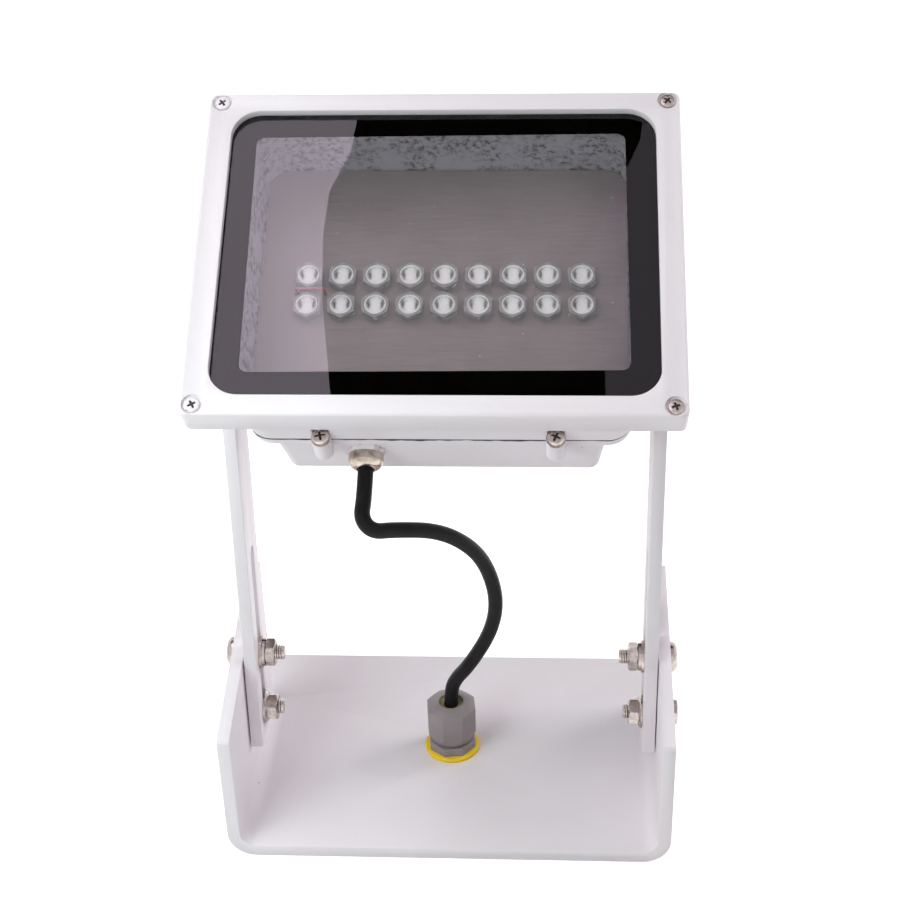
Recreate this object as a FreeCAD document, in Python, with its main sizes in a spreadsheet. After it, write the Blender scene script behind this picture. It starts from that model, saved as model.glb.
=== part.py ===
import FreeCAD, Part
import math
import os
import Sketcher

# LED flood light: a boxed lamp head between two slotted arms in a folded base bracket.
# Millimetres. X to the right, Y to the back, Z up, origin in the middle of the base's underside.

V = FreeCAD.Vector

SIZES = (
    # base bracket
    ("base_depth", 163.0),
    ("plate_thickness", 6.4),
    ("bend_radius", 8.0),
    ("ear_front_height", 76.5),
    ("ear_back_height", 105.5),
    ("ear_back_end", 39.5),
    ("ear_corner_radius", 3.0),
    ("lower_bolt_y", -18.9),
    ("lower_bolt_height", 48.6),
    ("ear_bolt_spacing", 35.0),
    # slotted arms
    ("arm_width", 30.0),
    ("arm_thickness", 6.4),
    ("ear_arm_gap", 0.6),
    ("housing_side_gap", 6.6),
    ("arm_lean", 4.0),
    ("arm_reach", 245.3),
    ("arm_foot", 15.9),
    ("slot_width", 8.7),
    ("slot_below", 9.0),
    ("slot_above", 99.6),
    # bolts, nuts and washers
    ("bolt_diameter", 8.0),
    ("bolt_hole_play", 0.6),
    ("thread_play", 0.1),
    ("nut_flats", 13.0),
    ("bolt_head_height", 5.3),
    ("cup_head_diameter", 16.4),
    ("cup_head_height", 3.9),
    ("cup_head_round", 2.9),
    ("neck_play", 0.2),
    ("washer_diameter", 17.0),
    ("washer_thickness", 1.5),
    ("spring_washer_diameter", 14.8),
    ("spring_washer_thickness", 1.7),
    ("spring_washer_gap", 1.6),
    ("nut_height", 5.2),
    ("upper_thread_end", 4.8),
    ("flange_nut_diameter", 17.9),
    ("flange_height", 1.8),
    ("flange_nut_height", 7.4),
    ("lower_thread_end", 2.9),
    # tilting pivot
    ("pivot_boss_diameter", 32.0),
    ("pivot_bore_play", 0.16),
    ("friction_washer_thickness", 1.7),
    ("friction_washer_diameter", 24.0),
    ("running_gap", 0.2),
    ("pivot_thread_depth", 7.7),
    ("face_tilt", 34.6),
    ("face_to_pivot", 31.0),
    # bezel
    ("bezel_width", 224.4),
    ("bezel_height", 171.2),
    ("bezel_depth", 15.2),
    ("bezel_radius", 3.6),
    ("bezel_edge_round", 1.6),
    ("bezel_lip", 4.0),
    ("bezel_wall", 4.0),
    ("bezel_post_radius", 18.0),
    ("bezel_skirt", 2.3),
    ("bezel_border_x", 11.6),
    ("bezel_border_y", 9.8),
    ("opening_radius", 14.0),
    ("bezel_screw_inset_x", 6.0),
    ("bezel_screw_inset_y", 5.0),
    ("bezel_screw_diameter", 3.5),
    ("bezel_screw_head", 7.4),
    ("bezel_screw_head_height", 1.7),
    ("bezel_screw_head_round", 0.85),
    ("bezel_recess_diameter", 9.6),
    ("bezel_recess_depth", 1.3),
    ("bezel_screw_length", 14.0),
    # glass
    ("glass_thickness", 4.0),
    ("glass_play", 0.6),
    ("glass_step_x", 3.0),
    ("glass_step_y", 2.0),
    ("glass_radius", 14.0),
    ("print_thickness", 0.15),
    ("print_border_x", 12.85),
    ("print_border_y", 12.8),
    ("window_radius", 4.0),
    ("window_shift", -0.9),
    ("window_rise", 2.4),
    ("window_turn", 0.5),
    ("glass_gasket_thickness", 2.85),
    ("glass_gasket_width", 6.0),
    # main housing
    ("flange_play", 0.3),
    ("housing_depth", 49.5),
    ("housing_step_x", 17.2),
    ("housing_step_y", 8.6),
    ("housing_draft_x", 4.5),
    ("housing_draft_y", 3.0),
    ("housing_radius", 12.0),
    ("cavity_wall_x", 3.0),
    ("cavity_wall_y", 5.0),
    ("cavity_draft_x", 3.0),
    ("cavity_draft_y", 0.5),
    ("cavity_radius", 12.0),
    ("floor_thickness", 3.0),
    ("lug_x", 54.3),
    ("lug_overhang", 3.0),
    ("lug_radius", 4.6),
    ("lug_height", 7.0),
    ("spotface_height", 5.0),
    ("lead_hole_diameter", 8.0),
    # rear cover
    ("rear_gasket_thickness", 1.5),
    ("rear_gasket_width", 8.0),
    ("cover_inset", 0.4),
    ("cover_flange_thickness", 5.0),
    ("cover_box_depth", 35.1),
    ("cover_step_x", 16.5),
    ("cover_step_y", 4.5),
    ("cover_draft_x", 3.0),
    ("cover_draft_y", 2.5),
    ("cover_box_radius", 5.0),
    ("cover_end_round", 2.5),
    ("cover_wall", 3.5),
    ("cover_boss_depth", 8.0),
    ("cover_boss_round", 2.6),
    ("cover_screw_diameter", 4.0),
    ("cover_screw_head", 8.0),
    ("cover_screw_head_height", 2.8),
    ("cover_screw_head_round", 1.4),
    ("cover_screw_length", 14.0),
    ("cover_washer_diameter", 9.1),
    ("cover_washer_thickness", 1.0),
    # light source
    ("led_plate_thickness", 1.5),
    ("led_plate_gap", 0.8),
    ("led_plate_radius", 10.0),
    ("led_columns", 9),
    ("led_rows", 2),
    ("led_pitch_x", 16.42),
    ("led_pitch_y", 16.3),
    ("led_shift", 0.7),
    ("led_rise", 0.3),
    ("emitter_side", 3.5),
    ("emitter_height", 1.2),
    ("lens_flats", 13.2),
    ("lens_height", 4.4),
    ("lens_cup_diameter", 11.0),
    ("lens_cup_floor", 8.0),
    ("lens_cup_depth", 2.4),
    ("lens_seat_diameter", 6.0),
    ("plate_screw_x", 60.0),
    ("plate_screw_y", -62.0),
    ("link_wire_diameter", 1.2),
    ("link_wire_start", -70.5),
    ("link_wire_end", -56.8),
    ("link_wire_round", 1.5),
    ("core_wire_diameter", 4.0),
    ("lead_rise", 22.0),
    ("lead_run", 14.0),
    ("lead_height", 12.0),
    # driver box contents
    ("driver_width", 96.0),
    ("driver_height", 56.0),
    ("driver_depth", 24.0),
    ("driver_x", 12.0),
    ("driver_y", 12.0),
    ("driver_tab", 8.0),
    ("driver_tab_thickness", 2.0),
    ("driver_screw_grip", 2.5),
    ("terminal_width", 26.0),
    ("terminal_height", 14.0),
    ("terminal_depth", 16.0),
    ("terminal_x", -44.0),
    ("terminal_y", -40.0),
    ("cores_start", 8.0),
    ("cores_run", 12.0),
    ("cores_drop", 10.0),
    # gland in the rear cover
    ("head_gland_x", -35.5),
    ("head_gland_depth", 66.0),
    ("head_gland_thread", 12.4),
    ("head_gland_flats", 16.0),
    ("head_gland_thread_end", 1.0),
    ("head_gland_hex_height", 2.8),
    ("head_gland_nut_diameter", 16.7),
    ("head_gland_dome_round", 4.5),
    ("head_gland_nut_lip", 1.5),
    ("head_gland_nut_height", 7.5),
    ("head_gland_mouth", 8.6),
    ("head_gland_collar", 11.6),
    ("head_gland_seal_height", 5.0),
    ("locknut_height", 4.0),
    ("locknut_flats", 17.0),
    # gland in the base plate
    ("base_gland_x", -2.0),
    ("base_gland_y", 0.5),
    ("base_gland_thread", 19.8),
    ("base_gland_washer_diameter", 30.0),
    ("base_gland_washer_thickness", 2.5),
    ("base_gland_body_flats", 24.9),
    ("base_gland_body_height", 5.1),
    ("base_gland_collar", 17.0),
    ("base_gland_collar_height", 16.4),
    ("base_gland_nut_flats", 26.0),
    ("base_gland_nut_gap", 0.5),
    ("base_gland_nut_height", 23.7),
    ("base_gland_mouth", 13.4),
    ("base_gland_crown", 2.1),
    ("base_gland_foot", 3.4),
    ("base_gland_foot_diameter", 23.0),
    ("base_gland_turn", 7.0),
    ("base_gland_seal_height", 6.0),
    # cable
    ("cable_diameter", 7.6),
    ("cable_play", 0.3),
    ("cable_bore_play", 0.9),
)

# The cable's route, from the gland under the lamp head to the gland in the base.
CABLE_ROUTE = (
    (-35.5, -43.2, 221.7),
    (-35.5, -59.6, 208.6),
    (-36.5, -70.0, 203.5),
    (-31.0, -73.0, 198.0),
    (-22.0, -65.0, 194.0),
    (-2.0, -50.0, 184.0),
    (13.0, -38.0, 167.0),
    (21.0, -27.0, 146.0),
    (25.0, -19.0, 120.0),
    (21.0, -11.0, 94.0),
    (9.0, -7.0, 69.0),
    (0.0, -1.5, 54.0),
    (-2.0, 0.5, 42.0),
    (-2.0, 0.5, 32.0),
)
RUN_SHARE = 0.45

# Sizes that follow from the others.
FOLLOWING_SIZES = (
    ("opening_width", "=bezel_width - 2 * bezel_border_x"),
    ("opening_height", "=bezel_height - 2 * bezel_border_y"),
    ("window_width", "=opening_width - 2 * print_border_x"),
    ("window_height", "=opening_height - 2 * print_border_y"),
    ("housing_width", "=bezel_width - 2 * housing_step_x"),
    ("housing_height", "=bezel_height - 2 * housing_step_y"),
    ("cavity_width", "=housing_width - 2 * cavity_wall_x"),
    ("cavity_height", "=housing_height - 2 * cavity_wall_y"),
    ("lug_y", "=housing_height / 2 - housing_draft_y + lug_overhang"),
    ("cover_box_width", "=housing_width - 2 * cover_step_x"),
    ("cover_box_height", "=housing_height - 2 * cover_step_y"),
    ("base_width", "=housing_width + 2 * (housing_side_gap + arm_thickness + ear_arm_gap + plate_thickness)"),
)

doc = FreeCAD.newDocument("led_flood_light")
sheet = doc.addObject("Spreadsheet::Sheet", "sizes")
for row, (alias, amount) in enumerate(SIZES + FOLLOWING_SIZES, start=1):
    sheet.set(f"A{row}", alias)
    sheet.set(f"B{row}", str(amount))
    sheet.setAlias(f"B{row}", alias)
doc.recompute()

# Places worked out from the sizes.
EAR_OUTER = "(sizes.base_width / 2)"
EAR_INNER = "(sizes.base_width / 2 - sizes.plate_thickness)"
ARM_OUTER = f"({EAR_INNER} - sizes.ear_arm_gap)"
ARM_INNER = f"({ARM_OUTER} - sizes.arm_thickness)"
BOLT_HOLE = "(sizes.bolt_diameter + sizes.bolt_hole_play)"
NUT_BORE = "(sizes.bolt_diameter + sizes.thread_play)"

PIVOT_Y = "(sizes.lower_bolt_y + sizes.arm_reach * sin(sizes.arm_lean))"
PIVOT_Z = "(sizes.lower_bolt_height + sizes.arm_reach * cos(sizes.arm_lean))"
BOSS_FACE = f"({ARM_INNER} - sizes.running_gap - sizes.friction_washer_thickness)"

FACE = "sizes.face_to_pivot"
LIP_BACK = f"({FACE} - sizes.bezel_lip)"
GLASS_BACK = f"({LIP_BACK} - sizes.glass_thickness)"
PRINT_BACK = f"({GLASS_BACK} - sizes.print_thickness)"
FLANGE_FRONT = f"({PRINT_BACK} - sizes.glass_gasket_thickness)"
FLANGE_BACK = f"({FACE} - sizes.bezel_depth)"
HOUSING_BACK = f"({FACE} - sizes.housing_depth)"
FLOOR_FRONT = f"({HOUSING_BACK} + sizes.floor_thickness)"
PLATE_FRONT = f"({FLOOR_FRONT} + sizes.led_plate_thickness)"
COVER_FRONT = f"({HOUSING_BACK} - sizes.rear_gasket_thickness)"
BOX_FRONT = f"({COVER_FRONT} - sizes.cover_flange_thickness)"
BOX_END = f"({BOX_FRONT} - sizes.cover_box_depth)"
BOX_FLOOR = f"({BOX_END} + sizes.cover_wall)"
LUG_BACK = f"({HOUSING_BACK} - sizes.rear_gasket_thickness / 2)"
LUG_FRONT = f"({HOUSING_BACK} + sizes.lug_height)"

HOUSING_BACK_WIDTH = "(sizes.housing_width - 2 * sizes.housing_draft_x)"
HOUSING_BACK_HEIGHT = "(sizes.housing_height - 2 * sizes.housing_draft_y)"
CAVITY_BACK_WIDTH = "(sizes.cavity_width - 2 * sizes.cavity_draft_x)"
CAVITY_BACK_HEIGHT = "(sizes.cavity_height - 2 * sizes.cavity_draft_y)"
FLANGE_WIDTH = "(sizes.bezel_width - 2 * sizes.bezel_skirt - 2 * sizes.flange_play)"
FLANGE_HEIGHT = "(sizes.bezel_height - 2 * sizes.bezel_skirt - 2 * sizes.flange_play)"
SKIRT_RADIUS = "(sizes.bezel_radius - sizes.bezel_skirt / 2)"
GLASS_WIDTH = "(sizes.bezel_width - 2 * sizes.bezel_wall - 2 * sizes.glass_play - 2 * sizes.glass_step_x)"
GLASS_HEIGHT = "(sizes.bezel_height - 2 * sizes.bezel_wall - 2 * sizes.glass_play - 2 * sizes.glass_step_y)"
HOLLOW_FRONT_SHARE = "(sizes.cover_flange_thickness / sizes.cover_box_depth)"
HOLLOW_BACK_SHARE = "((sizes.cover_box_depth - sizes.cover_wall) / sizes.cover_box_depth)"
COVER_WIDTH = f"({HOUSING_BACK_WIDTH} - 2 * sizes.cover_inset)"
COVER_HEIGHT = f"({HOUSING_BACK_HEIGHT} - 2 * sizes.cover_inset)"
DRIVER_TAB_X = "(sizes.driver_width / 2 + sizes.driver_tab / 2)"
BEZEL_SCREW_X = "(sizes.bezel_width / 2 - sizes.bezel_screw_inset_x)"
BEZEL_SCREW_Y = "(sizes.bezel_height / 2 - sizes.bezel_screw_inset_y)"

ARM_FRAME = (
    "placement(vector(0; sizes.lower_bolt_y; sizes.lower_bolt_height); "
    "rotation(vector(1; 0; 0); -sizes.arm_lean))"
)
HEAD_FRAME = (
    f"placement(vector(0; {PIVOT_Y}; {PIVOT_Z}); "
    "rotation(vector(1; 0; 0); sizes.face_tilt))"
)
BASE_GLAND_FRAME = (
    "placement(vector(sizes.base_gland_x; sizes.base_gland_y; sizes.plate_thickness); "
    "rotation(vector(1; 0; 0); 0))"
)
# The gland stands square on the cover's drafted lower wall.
GLAND_Z = f"({FACE} - sizes.head_gland_depth)"
GLAND_SHARE = f"(({BOX_FRONT} - {GLAND_Z}) / sizes.cover_box_depth)"
GLAND_WALL_Y = f"(-sizes.cover_box_height / 2 + sizes.cover_draft_y * {GLAND_SHARE})"
WALL_DRAFT = "atan(sizes.cover_draft_y / sizes.cover_box_depth)"
HEAD_GLAND_FRAME = (
    f"{HEAD_FRAME} * placement(vector(sizes.head_gland_x; {GLAND_WALL_Y}; {GLAND_Z}); "
    f"rotation(vector(1; 0; 0); 90 deg + {WALL_DRAFT}))"
)


def moved(frame, x="0", y="0", z="0"):
    """The frame moved along its own axes."""
    return f"{frame} * placement(vector({x}; {y}; {z}); rotation(vector(1; 0; 0); 0))"


def number(expression):
    """The value of an expression now, as a plain number."""
    result = sheet.evalExpression(expression)
    return float(getattr(result, "Value", result))


def add_body(name, frame=None):
    """An empty body, placed by its frame."""
    body = doc.addObject("PartDesign::Body", name)
    body.AllowCompound = True
    if frame:
        body.setExpression("Placement", frame)
    return body


def origin_feature(body, role):
    """One of the body's own origin planes or axes."""
    return [feature for feature in body.Origin.OriginFeatures if feature.Role == role][0]


def add_sketch(body, role="XY_Plane", lift="0"):
    """An empty sketch on one of the body's origin planes, lifted along the plane's normal."""
    sketch = body.newObject("Sketcher::SketchObject", f"{body.Name}_sketch")
    sketch.AttachmentSupport = (origin_feature(body, role), [""])
    sketch.MapMode = "FlatFace"
    if lift != "0":
        sketch.setExpression("AttachmentOffset.Base.z", lift)
    return sketch


def fix(sketch, kind, geometry, expression, point=None):
    """Holds one size of a piece of geometry to an expression."""
    amount = number(expression)
    if point is None:
        constraint = Sketcher.Constraint(kind, geometry, amount)
    else:
        constraint = Sketcher.Constraint(kind, -1, 1, geometry, point, amount)
    index = sketch.addConstraint(constraint)
    name = f"size_{index}"
    sketch.renameConstraint(index, name)
    sketch.setExpression(f"Constraints.{name}", expression)


def add_outline(sketch, corners):
    """A closed outline with straight sides through corners given as pairs of expressions."""
    places = [V(number(x), number(y), 0) for x, y in corners]
    count = len(places)
    lines = []
    for index in range(count):
        side = Part.LineSegment(places[index], places[(index + 1) % count])
        lines.append(sketch.addGeometry(side))
    for index in range(count):
        following = lines[(index + 1) % count]
        sketch.addConstraint(Sketcher.Constraint("Coincident", lines[index], 2, following, 1))
    for line, (x, y) in zip(lines, corners):
        fix(sketch, "DistanceX", line, x, 1)
        fix(sketch, "DistanceY", line, y, 1)


def add_rectangle(sketch, width, height, x="0", y="0"):
    """A rectangle about a centre."""
    left = f"({x} - {width} / 2)"
    right = f"({x} + {width} / 2)"
    low = f"({y} - {height} / 2)"
    high = f"({y} + {height} / 2)"
    add_outline(sketch, [(left, low), (right, low), (right, high), (left, high)])


def add_circle(sketch, diameter, x="0", y="0"):
    """A circle about a centre."""
    centre = V(number(x), number(y), 0)
    circle = Part.Circle(centre, V(0, 0, 1), number(diameter) / 2)
    index = sketch.addGeometry(circle)
    fix(sketch, "Radius", index, f"{diameter} / 2")
    fix(sketch, "DistanceX", index, x, 3)
    fix(sketch, "DistanceY", index, y, 3)


def add_polygon(sketch, sides, flats, turn="0"):
    """An even polygon about the sketch's origin, given across its flats."""
    corners = []
    step = 360 / sides
    for index in range(sides):
        angle = f"({step} * {index} + {turn})"
        reach = f"{flats} / (2 * cos({step / 2}))"
        corners.append((f"{reach} * cos({angle})", f"{reach} * sin({angle})"))
    add_outline(sketch, corners)


def add_hexagon(sketch, flats, turn="0"):
    """A hexagon about the sketch's origin, given across its flats."""
    add_polygon(sketch, 6, flats, turn)


def add_round_outline(sketch, centres, radii, starts):
    """Arcs joined by tangent lines, going round anticlockwise."""
    arcs = []
    count = len(centres)
    for (x, y), radius, (start, end) in zip(centres, radii, starts):
        circle = Part.Circle(V(number(x), number(y), 0), V(0, 0, 1), number(radius))
        arcs.append(sketch.addGeometry(Part.ArcOfCircle(circle, math.radians(start), math.radians(end))))
    for index in range(count):
        following = (index + 1) % count
        first = sketch.Geometry[arcs[index]].EndPoint
        second = sketch.Geometry[arcs[following]].StartPoint
        line = sketch.addGeometry(Part.LineSegment(first, second))
        sketch.addConstraint(Sketcher.Constraint("Tangent", arcs[index], 2, line, 1))
        sketch.addConstraint(Sketcher.Constraint("Tangent", line, 2, arcs[following], 1))
    for arc, (x, y), radius in zip(arcs, centres, radii):
        fix(sketch, "DistanceX", arc, x, 3)
        fix(sketch, "DistanceY", arc, y, 3)
        fix(sketch, "Radius", arc, radius)


def add_rounded(sketch, width, height, radius, x="0", y="0"):
    """A rectangle with round corners."""
    right = f"({x} + {width} / 2 - {radius})"
    left = f"({x} - {width} / 2 + {radius})"
    high = f"({y} + {height} / 2 - {radius})"
    low = f"({y} - {height} / 2 + {radius})"
    centres = [(right, high), (left, high), (left, low), (right, low)]
    add_round_outline(sketch, centres, [radius] * 4, [(0, 90), (90, 180), (180, 270), (270, 360)])


def add_slot(sketch, width, low, high):
    """An upright slot with round ends, from its lowest to its highest point."""
    radius = f"({width} / 2)"
    centres = [("0", f"({high} - {radius})"), ("0", f"({low} + {radius})")]
    add_round_outline(sketch, centres, [radius] * 2, [(0, 180), (180, 360)])


def feature(body, kind, sketch):
    """A feature of the body made from a sketch."""
    made = body.newObject(f"PartDesign::{kind}", f"{body.Name}_{kind.lower()}")
    made.Profile = sketch
    return made


def pad(body, sketch, length, backwards=False, both=False):
    """Adds material along the sketch's normal."""
    made = feature(body, "Pad", sketch)
    made.setExpression("Length", length)
    made.Reversed = backwards
    if both:
        made.SideType = "Symmetric"
    doc.recompute()
    return made


def must_shrink(body, before):
    """Stops if a cut took nothing away."""
    doc.recompute()
    if not body.Shape.Volume < before:
        raise ValueError(f"a cut in {body.Name} removed nothing")


def pocket(body, sketch, length, forwards=False, both=False):
    """Cuts against the sketch's normal, or along it."""
    before = body.Shape.Volume
    made = feature(body, "Pocket", sketch)
    made.setExpression("Length", length)
    made.Reversed = forwards
    if both:
        made.SideType = "Symmetric"
    must_shrink(body, before)
    return made


def groove(body, sketch):
    """Turns material away about the sketch's upright axis."""
    before = body.Shape.Volume
    made = feature(body, "Groove", sketch)
    made.ReferenceAxis = (sketch, ["V_Axis"])
    made.Angle = 360
    must_shrink(body, before)
    return made


def loft(body, first, second):
    """A drafted block between two outlines."""
    made = feature(body, "AdditiveLoft", first)
    made.Sections = [second]
    made.Ruled = True
    doc.recompute()
    return made


def cut_loft(body, first, second):
    """A drafted hollow between two outlines."""
    before = body.Shape.Volume
    made = feature(body, "SubtractiveLoft", first)
    made.Sections = [second]
    made.Ruled = True
    must_shrink(body, before)
    return made


def round_edges(body, radius, wanted):
    """Rounds the edges of the body's last feature that a test picks."""
    base = body.Tip
    names = []
    for index, edge in enumerate(base.Shape.Edges, start=1):
        if wanted(edge.BoundBox):
            names.append(f"Edge{index}")
    if not names:
        raise ValueError(f"no edge of {body.Name} to round")
    made = body.newObject("PartDesign::Fillet", f"{body.Name}_fillet")
    made.Base = (base, names)
    made.setExpression("Radius", radius)
    doc.recompute()
    return made


def near(first, second):
    """Whether two numbers are the same size."""
    return abs(first - second) < 0.01


def grid(body, original, columns, column_pitch, rows, row_pitch):
    """Repeats a feature along X and Y."""
    pattern = body.newObject("PartDesign::LinearPattern", f"{body.Name}_pattern")
    pattern.Originals = [original]
    pattern.Direction = (origin_feature(body, "X_Axis"), [""])
    pattern.setExpression("Length", f"{column_pitch} * ({columns} - 1)")
    pattern.setExpression("Occurrences", columns)
    pattern.Direction2 = (origin_feature(body, "Y_Axis"), [""])
    pattern.setExpression("Length2", f"{row_pitch} * ({rows} - 1)")
    pattern.setExpression("Occurrences2", rows)
    body.Tip = pattern
    doc.recompute()
    return pattern


def pair(name, seed):
    """The piece and its mirror image across the middle, as one group."""
    image = doc.addObject("Part::Mirroring", f"{name}_left")
    image.Source = seed
    image.Normal = V(1, 0, 0)
    group = doc.addObject("Part::Compound", name)
    group.Links = [seed, image]
    return group


def copies(name, seed, frames):
    """The piece at each of the frames, as one group."""
    links = []
    for index, frame in enumerate(frames, start=1):
        link = doc.addObject("App::Link", f"{name}_{index}")
        link.LinkedObject = seed
        link.LinkTransform = False
        link.setExpression("Placement", frame)
        links.append(link)
    group = doc.addObject("Part::Compound", name)
    group.Links = links
    return group


# Wires

def turn_at(before, corner, after):
    """The angle by which a route turns at a corner."""
    return corner.sub(before).getAngle(after.sub(corner))


def corner_rounds(points):
    """The largest even radius that each corner of a route has room for."""
    rounds = []
    for before, corner, after in zip(points, points[1:], points[2:]):
        shorter = min(corner.distanceToPoint(before), after.distanceToPoint(corner))
        rounds.append(RUN_SHARE * shorter / math.tan(turn_at(before, corner, after) / 2))
    return rounds


def tube(points, rounds, radius):
    """A round tube along straight runs joined by tangent arcs."""
    edges = []
    length = 0
    last = points[0]
    for before, corner, after, size in zip(points, points[1:], points[2:], rounds):
        turn = turn_at(before, corner, after)
        way_in = corner.sub(before).normalize()
        way_out = after.sub(corner).normalize()
        setback = size * math.tan(turn / 2)
        start = corner.sub(V(way_in).multiply(setback))
        end = corner.add(V(way_out).multiply(setback))
        inward = way_out.sub(way_in).normalize()
        middle = corner.add(inward.multiply(size * (1 / math.cos(turn / 2) - 1)))
        edges.append(Part.LineSegment(last, start).toShape())
        edges.append(Part.Arc(start, middle, end).toShape())
        length += start.distanceToPoint(last) + size * turn
        last = end
    edges.append(Part.LineSegment(last, points[-1]).toShape())
    length += last.distanceToPoint(points[-1])
    section = Part.Wire(Part.makeCircle(radius, points[0], points[1].sub(points[0])))
    solid = Part.Wire(edges).makePipeShell([section], True, False)
    if solid.Volume < 0:
        solid.reverse()
    expected = math.pi * radius ** 2 * length
    print(f"tube length {length:.1f}, volume {solid.Volume:.0f} against {expected:.0f}")
    if abs(solid.Volume / expected - 1) > 0.01:
        raise ValueError("a tube's volume is wrong")
    return solid


# Base bracket

def base_bracket():
    """One folded plate: a floor and two ears whose tops rise to the back."""
    body = add_body("base_bracket")
    folded = add_sketch(body, "XZ_Plane", "sizes.base_depth / 2")
    top = "sizes.ear_back_height"
    floor_top = "sizes.plate_thickness"
    add_outline(folded, [
        (f"-{EAR_OUTER}", "0"), (EAR_OUTER, "0"), (EAR_OUTER, top), (EAR_INNER, top),
        (EAR_INNER, floor_top), (f"-{EAR_INNER}", floor_top), (f"-{EAR_INNER}", top),
        (f"-{EAR_OUTER}", top),
    ])
    pad(body, folded, "sizes.base_depth / 2 + sizes.ear_back_end", backwards=True)
    outer = number(EAR_OUTER)
    inner = number(EAR_INNER)
    thick = number("sizes.plate_thickness")
    round_edges(body, "sizes.bend_radius + sizes.plate_thickness",
                lambda box: near(box.XLength, 0) and near(abs(box.XMin), outer) and near(box.ZMax, 0))
    round_edges(body, "sizes.bend_radius",
                lambda box: near(box.XLength, 0) and near(abs(box.XMin), inner)
                and near(box.ZMin, thick) and near(box.ZMax, thick))
    slope = add_sketch(body, "YZ_Plane")
    front = "-sizes.base_depth / 2"
    add_outline(slope, [
        (front, "sizes.ear_front_height"), ("sizes.ear_back_end", top),
        ("sizes.ear_back_end", f"{top} + 1"), (front, f"{top} + 1"),
    ])
    pocket(body, slope, "sizes.base_width + 2", both=True)
    front_corner = (number(front), number("sizes.ear_front_height"))
    back_corner = (number("sizes.ear_back_end"), number(top))
    round_edges(body, "sizes.ear_corner_radius",
                lambda box: box.XLength > 1 and near(box.ZLength, 0) and near(box.YLength, 0)
                and any(near(box.YMin, y) and near(box.ZMin, z) for y, z in (front_corner, back_corner)))
    rear = add_sketch(body)
    back_edge = "sizes.base_depth / 2"
    add_outline(rear, [
        (f"-{EAR_OUTER}", "sizes.ear_back_end"), (EAR_OUTER, "sizes.ear_back_end"),
        (EAR_OUTER, back_edge), (f"-{EAR_OUTER}", back_edge),
    ])
    pad(body, rear, "sizes.plate_thickness")
    holes = add_sketch(body, "YZ_Plane")
    add_circle(holes, BOLT_HOLE, "sizes.lower_bolt_y", "sizes.lower_bolt_height")
    pocket(body, holes, "sizes.base_width + 2", both=True)
    square = add_sketch(body, "YZ_Plane")
    neck_hole = "(sizes.bolt_diameter + 2 * sizes.neck_play)"
    add_rectangle(square, neck_hole, neck_hole)
    square.setExpression("AttachmentOffset", (
        "placement(vector(sizes.lower_bolt_y + sizes.ear_bolt_spacing * sin(sizes.arm_lean); "
        "sizes.lower_bolt_height + sizes.ear_bolt_spacing * cos(sizes.arm_lean); 0); "
        "rotation(vector(0; 0; 1); -sizes.arm_lean))"
    ))
    pocket(body, square, "sizes.base_width + 2", both=True)
    gland_hole = add_sketch(body)
    add_circle(gland_hole, "(sizes.base_gland_thread + 2 * sizes.thread_play)",
               "sizes.base_gland_x", "sizes.base_gland_y")
    pocket(body, gland_hole, "sizes.plate_thickness", forwards=True)
    return body


# Bolts, nuts and washers in the ears

def bolt_frame(raised):
    """The frame of an ear bolt, in the slot's own direction."""
    return moved(ARM_FRAME, "0", "0", "sizes.ear_bolt_spacing") if raised else ARM_FRAME


def add_disc(body, diameter, start, length, bore=None):
    """A disc or ring about X, from its start inwards."""
    sketch = add_sketch(body, "YZ_Plane", start)
    add_circle(sketch, diameter)
    if bore:
        add_circle(sketch, bore)
    return pad(body, sketch, length, backwards=True)


def add_hex(body, flats, start, length, bore=None):
    """A hexagon about X, from its start inwards."""
    sketch = add_sketch(body, "YZ_Plane", start)
    add_hexagon(sketch, flats)
    if bore:
        add_circle(sketch, bore)
    return pad(body, sketch, length, backwards=True)


def upper_ear_bolts():
    """Cup-head bolts whose square neck stops them turning in the ear."""
    body = add_body("upper_ear_bolt", bolt_frame(True))
    head_end = f"({EAR_OUTER} + sizes.cup_head_height)"
    add_disc(body, "sizes.cup_head_diameter", head_end, "sizes.cup_head_height")
    outer = number(head_end)
    round_edges(body, "sizes.cup_head_round", lambda box: near(box.XMin, outer))
    neck = add_sketch(body, "YZ_Plane", EAR_OUTER)
    add_rectangle(neck, "sizes.bolt_diameter", "sizes.bolt_diameter")
    pad(body, neck, "sizes.plate_thickness", backwards=True)
    length = (
        "(sizes.plate_thickness + sizes.ear_arm_gap + sizes.arm_thickness "
        "+ sizes.washer_thickness + sizes.spring_washer_thickness + sizes.nut_height + sizes.upper_thread_end)"
    )
    add_disc(body, "sizes.bolt_diameter", EAR_OUTER, length)
    return pair("upper_ear_bolts", body)


def lower_ear_bolts():
    """Hex-head bolts at the foot of the slots."""
    body = add_body("lower_ear_bolt", bolt_frame(False))
    add_hex(body, "sizes.nut_flats", f"({EAR_OUTER} + sizes.bolt_head_height)", "sizes.bolt_head_height")
    length = (
        "(sizes.plate_thickness + sizes.ear_arm_gap + sizes.arm_thickness "
        "+ sizes.flange_nut_height + sizes.lower_thread_end)"
    )
    add_disc(body, "sizes.bolt_diameter", EAR_OUTER, length)
    return pair("lower_ear_bolts", body)


def ear_flat_washers():
    """Flat washers on the arms' inner faces."""
    body = add_body("ear_flat_washer", bolt_frame(True))
    add_disc(body, "sizes.washer_diameter", ARM_INNER, "sizes.washer_thickness", BOLT_HOLE)
    return pair("ear_flat_washers", body)


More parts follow.
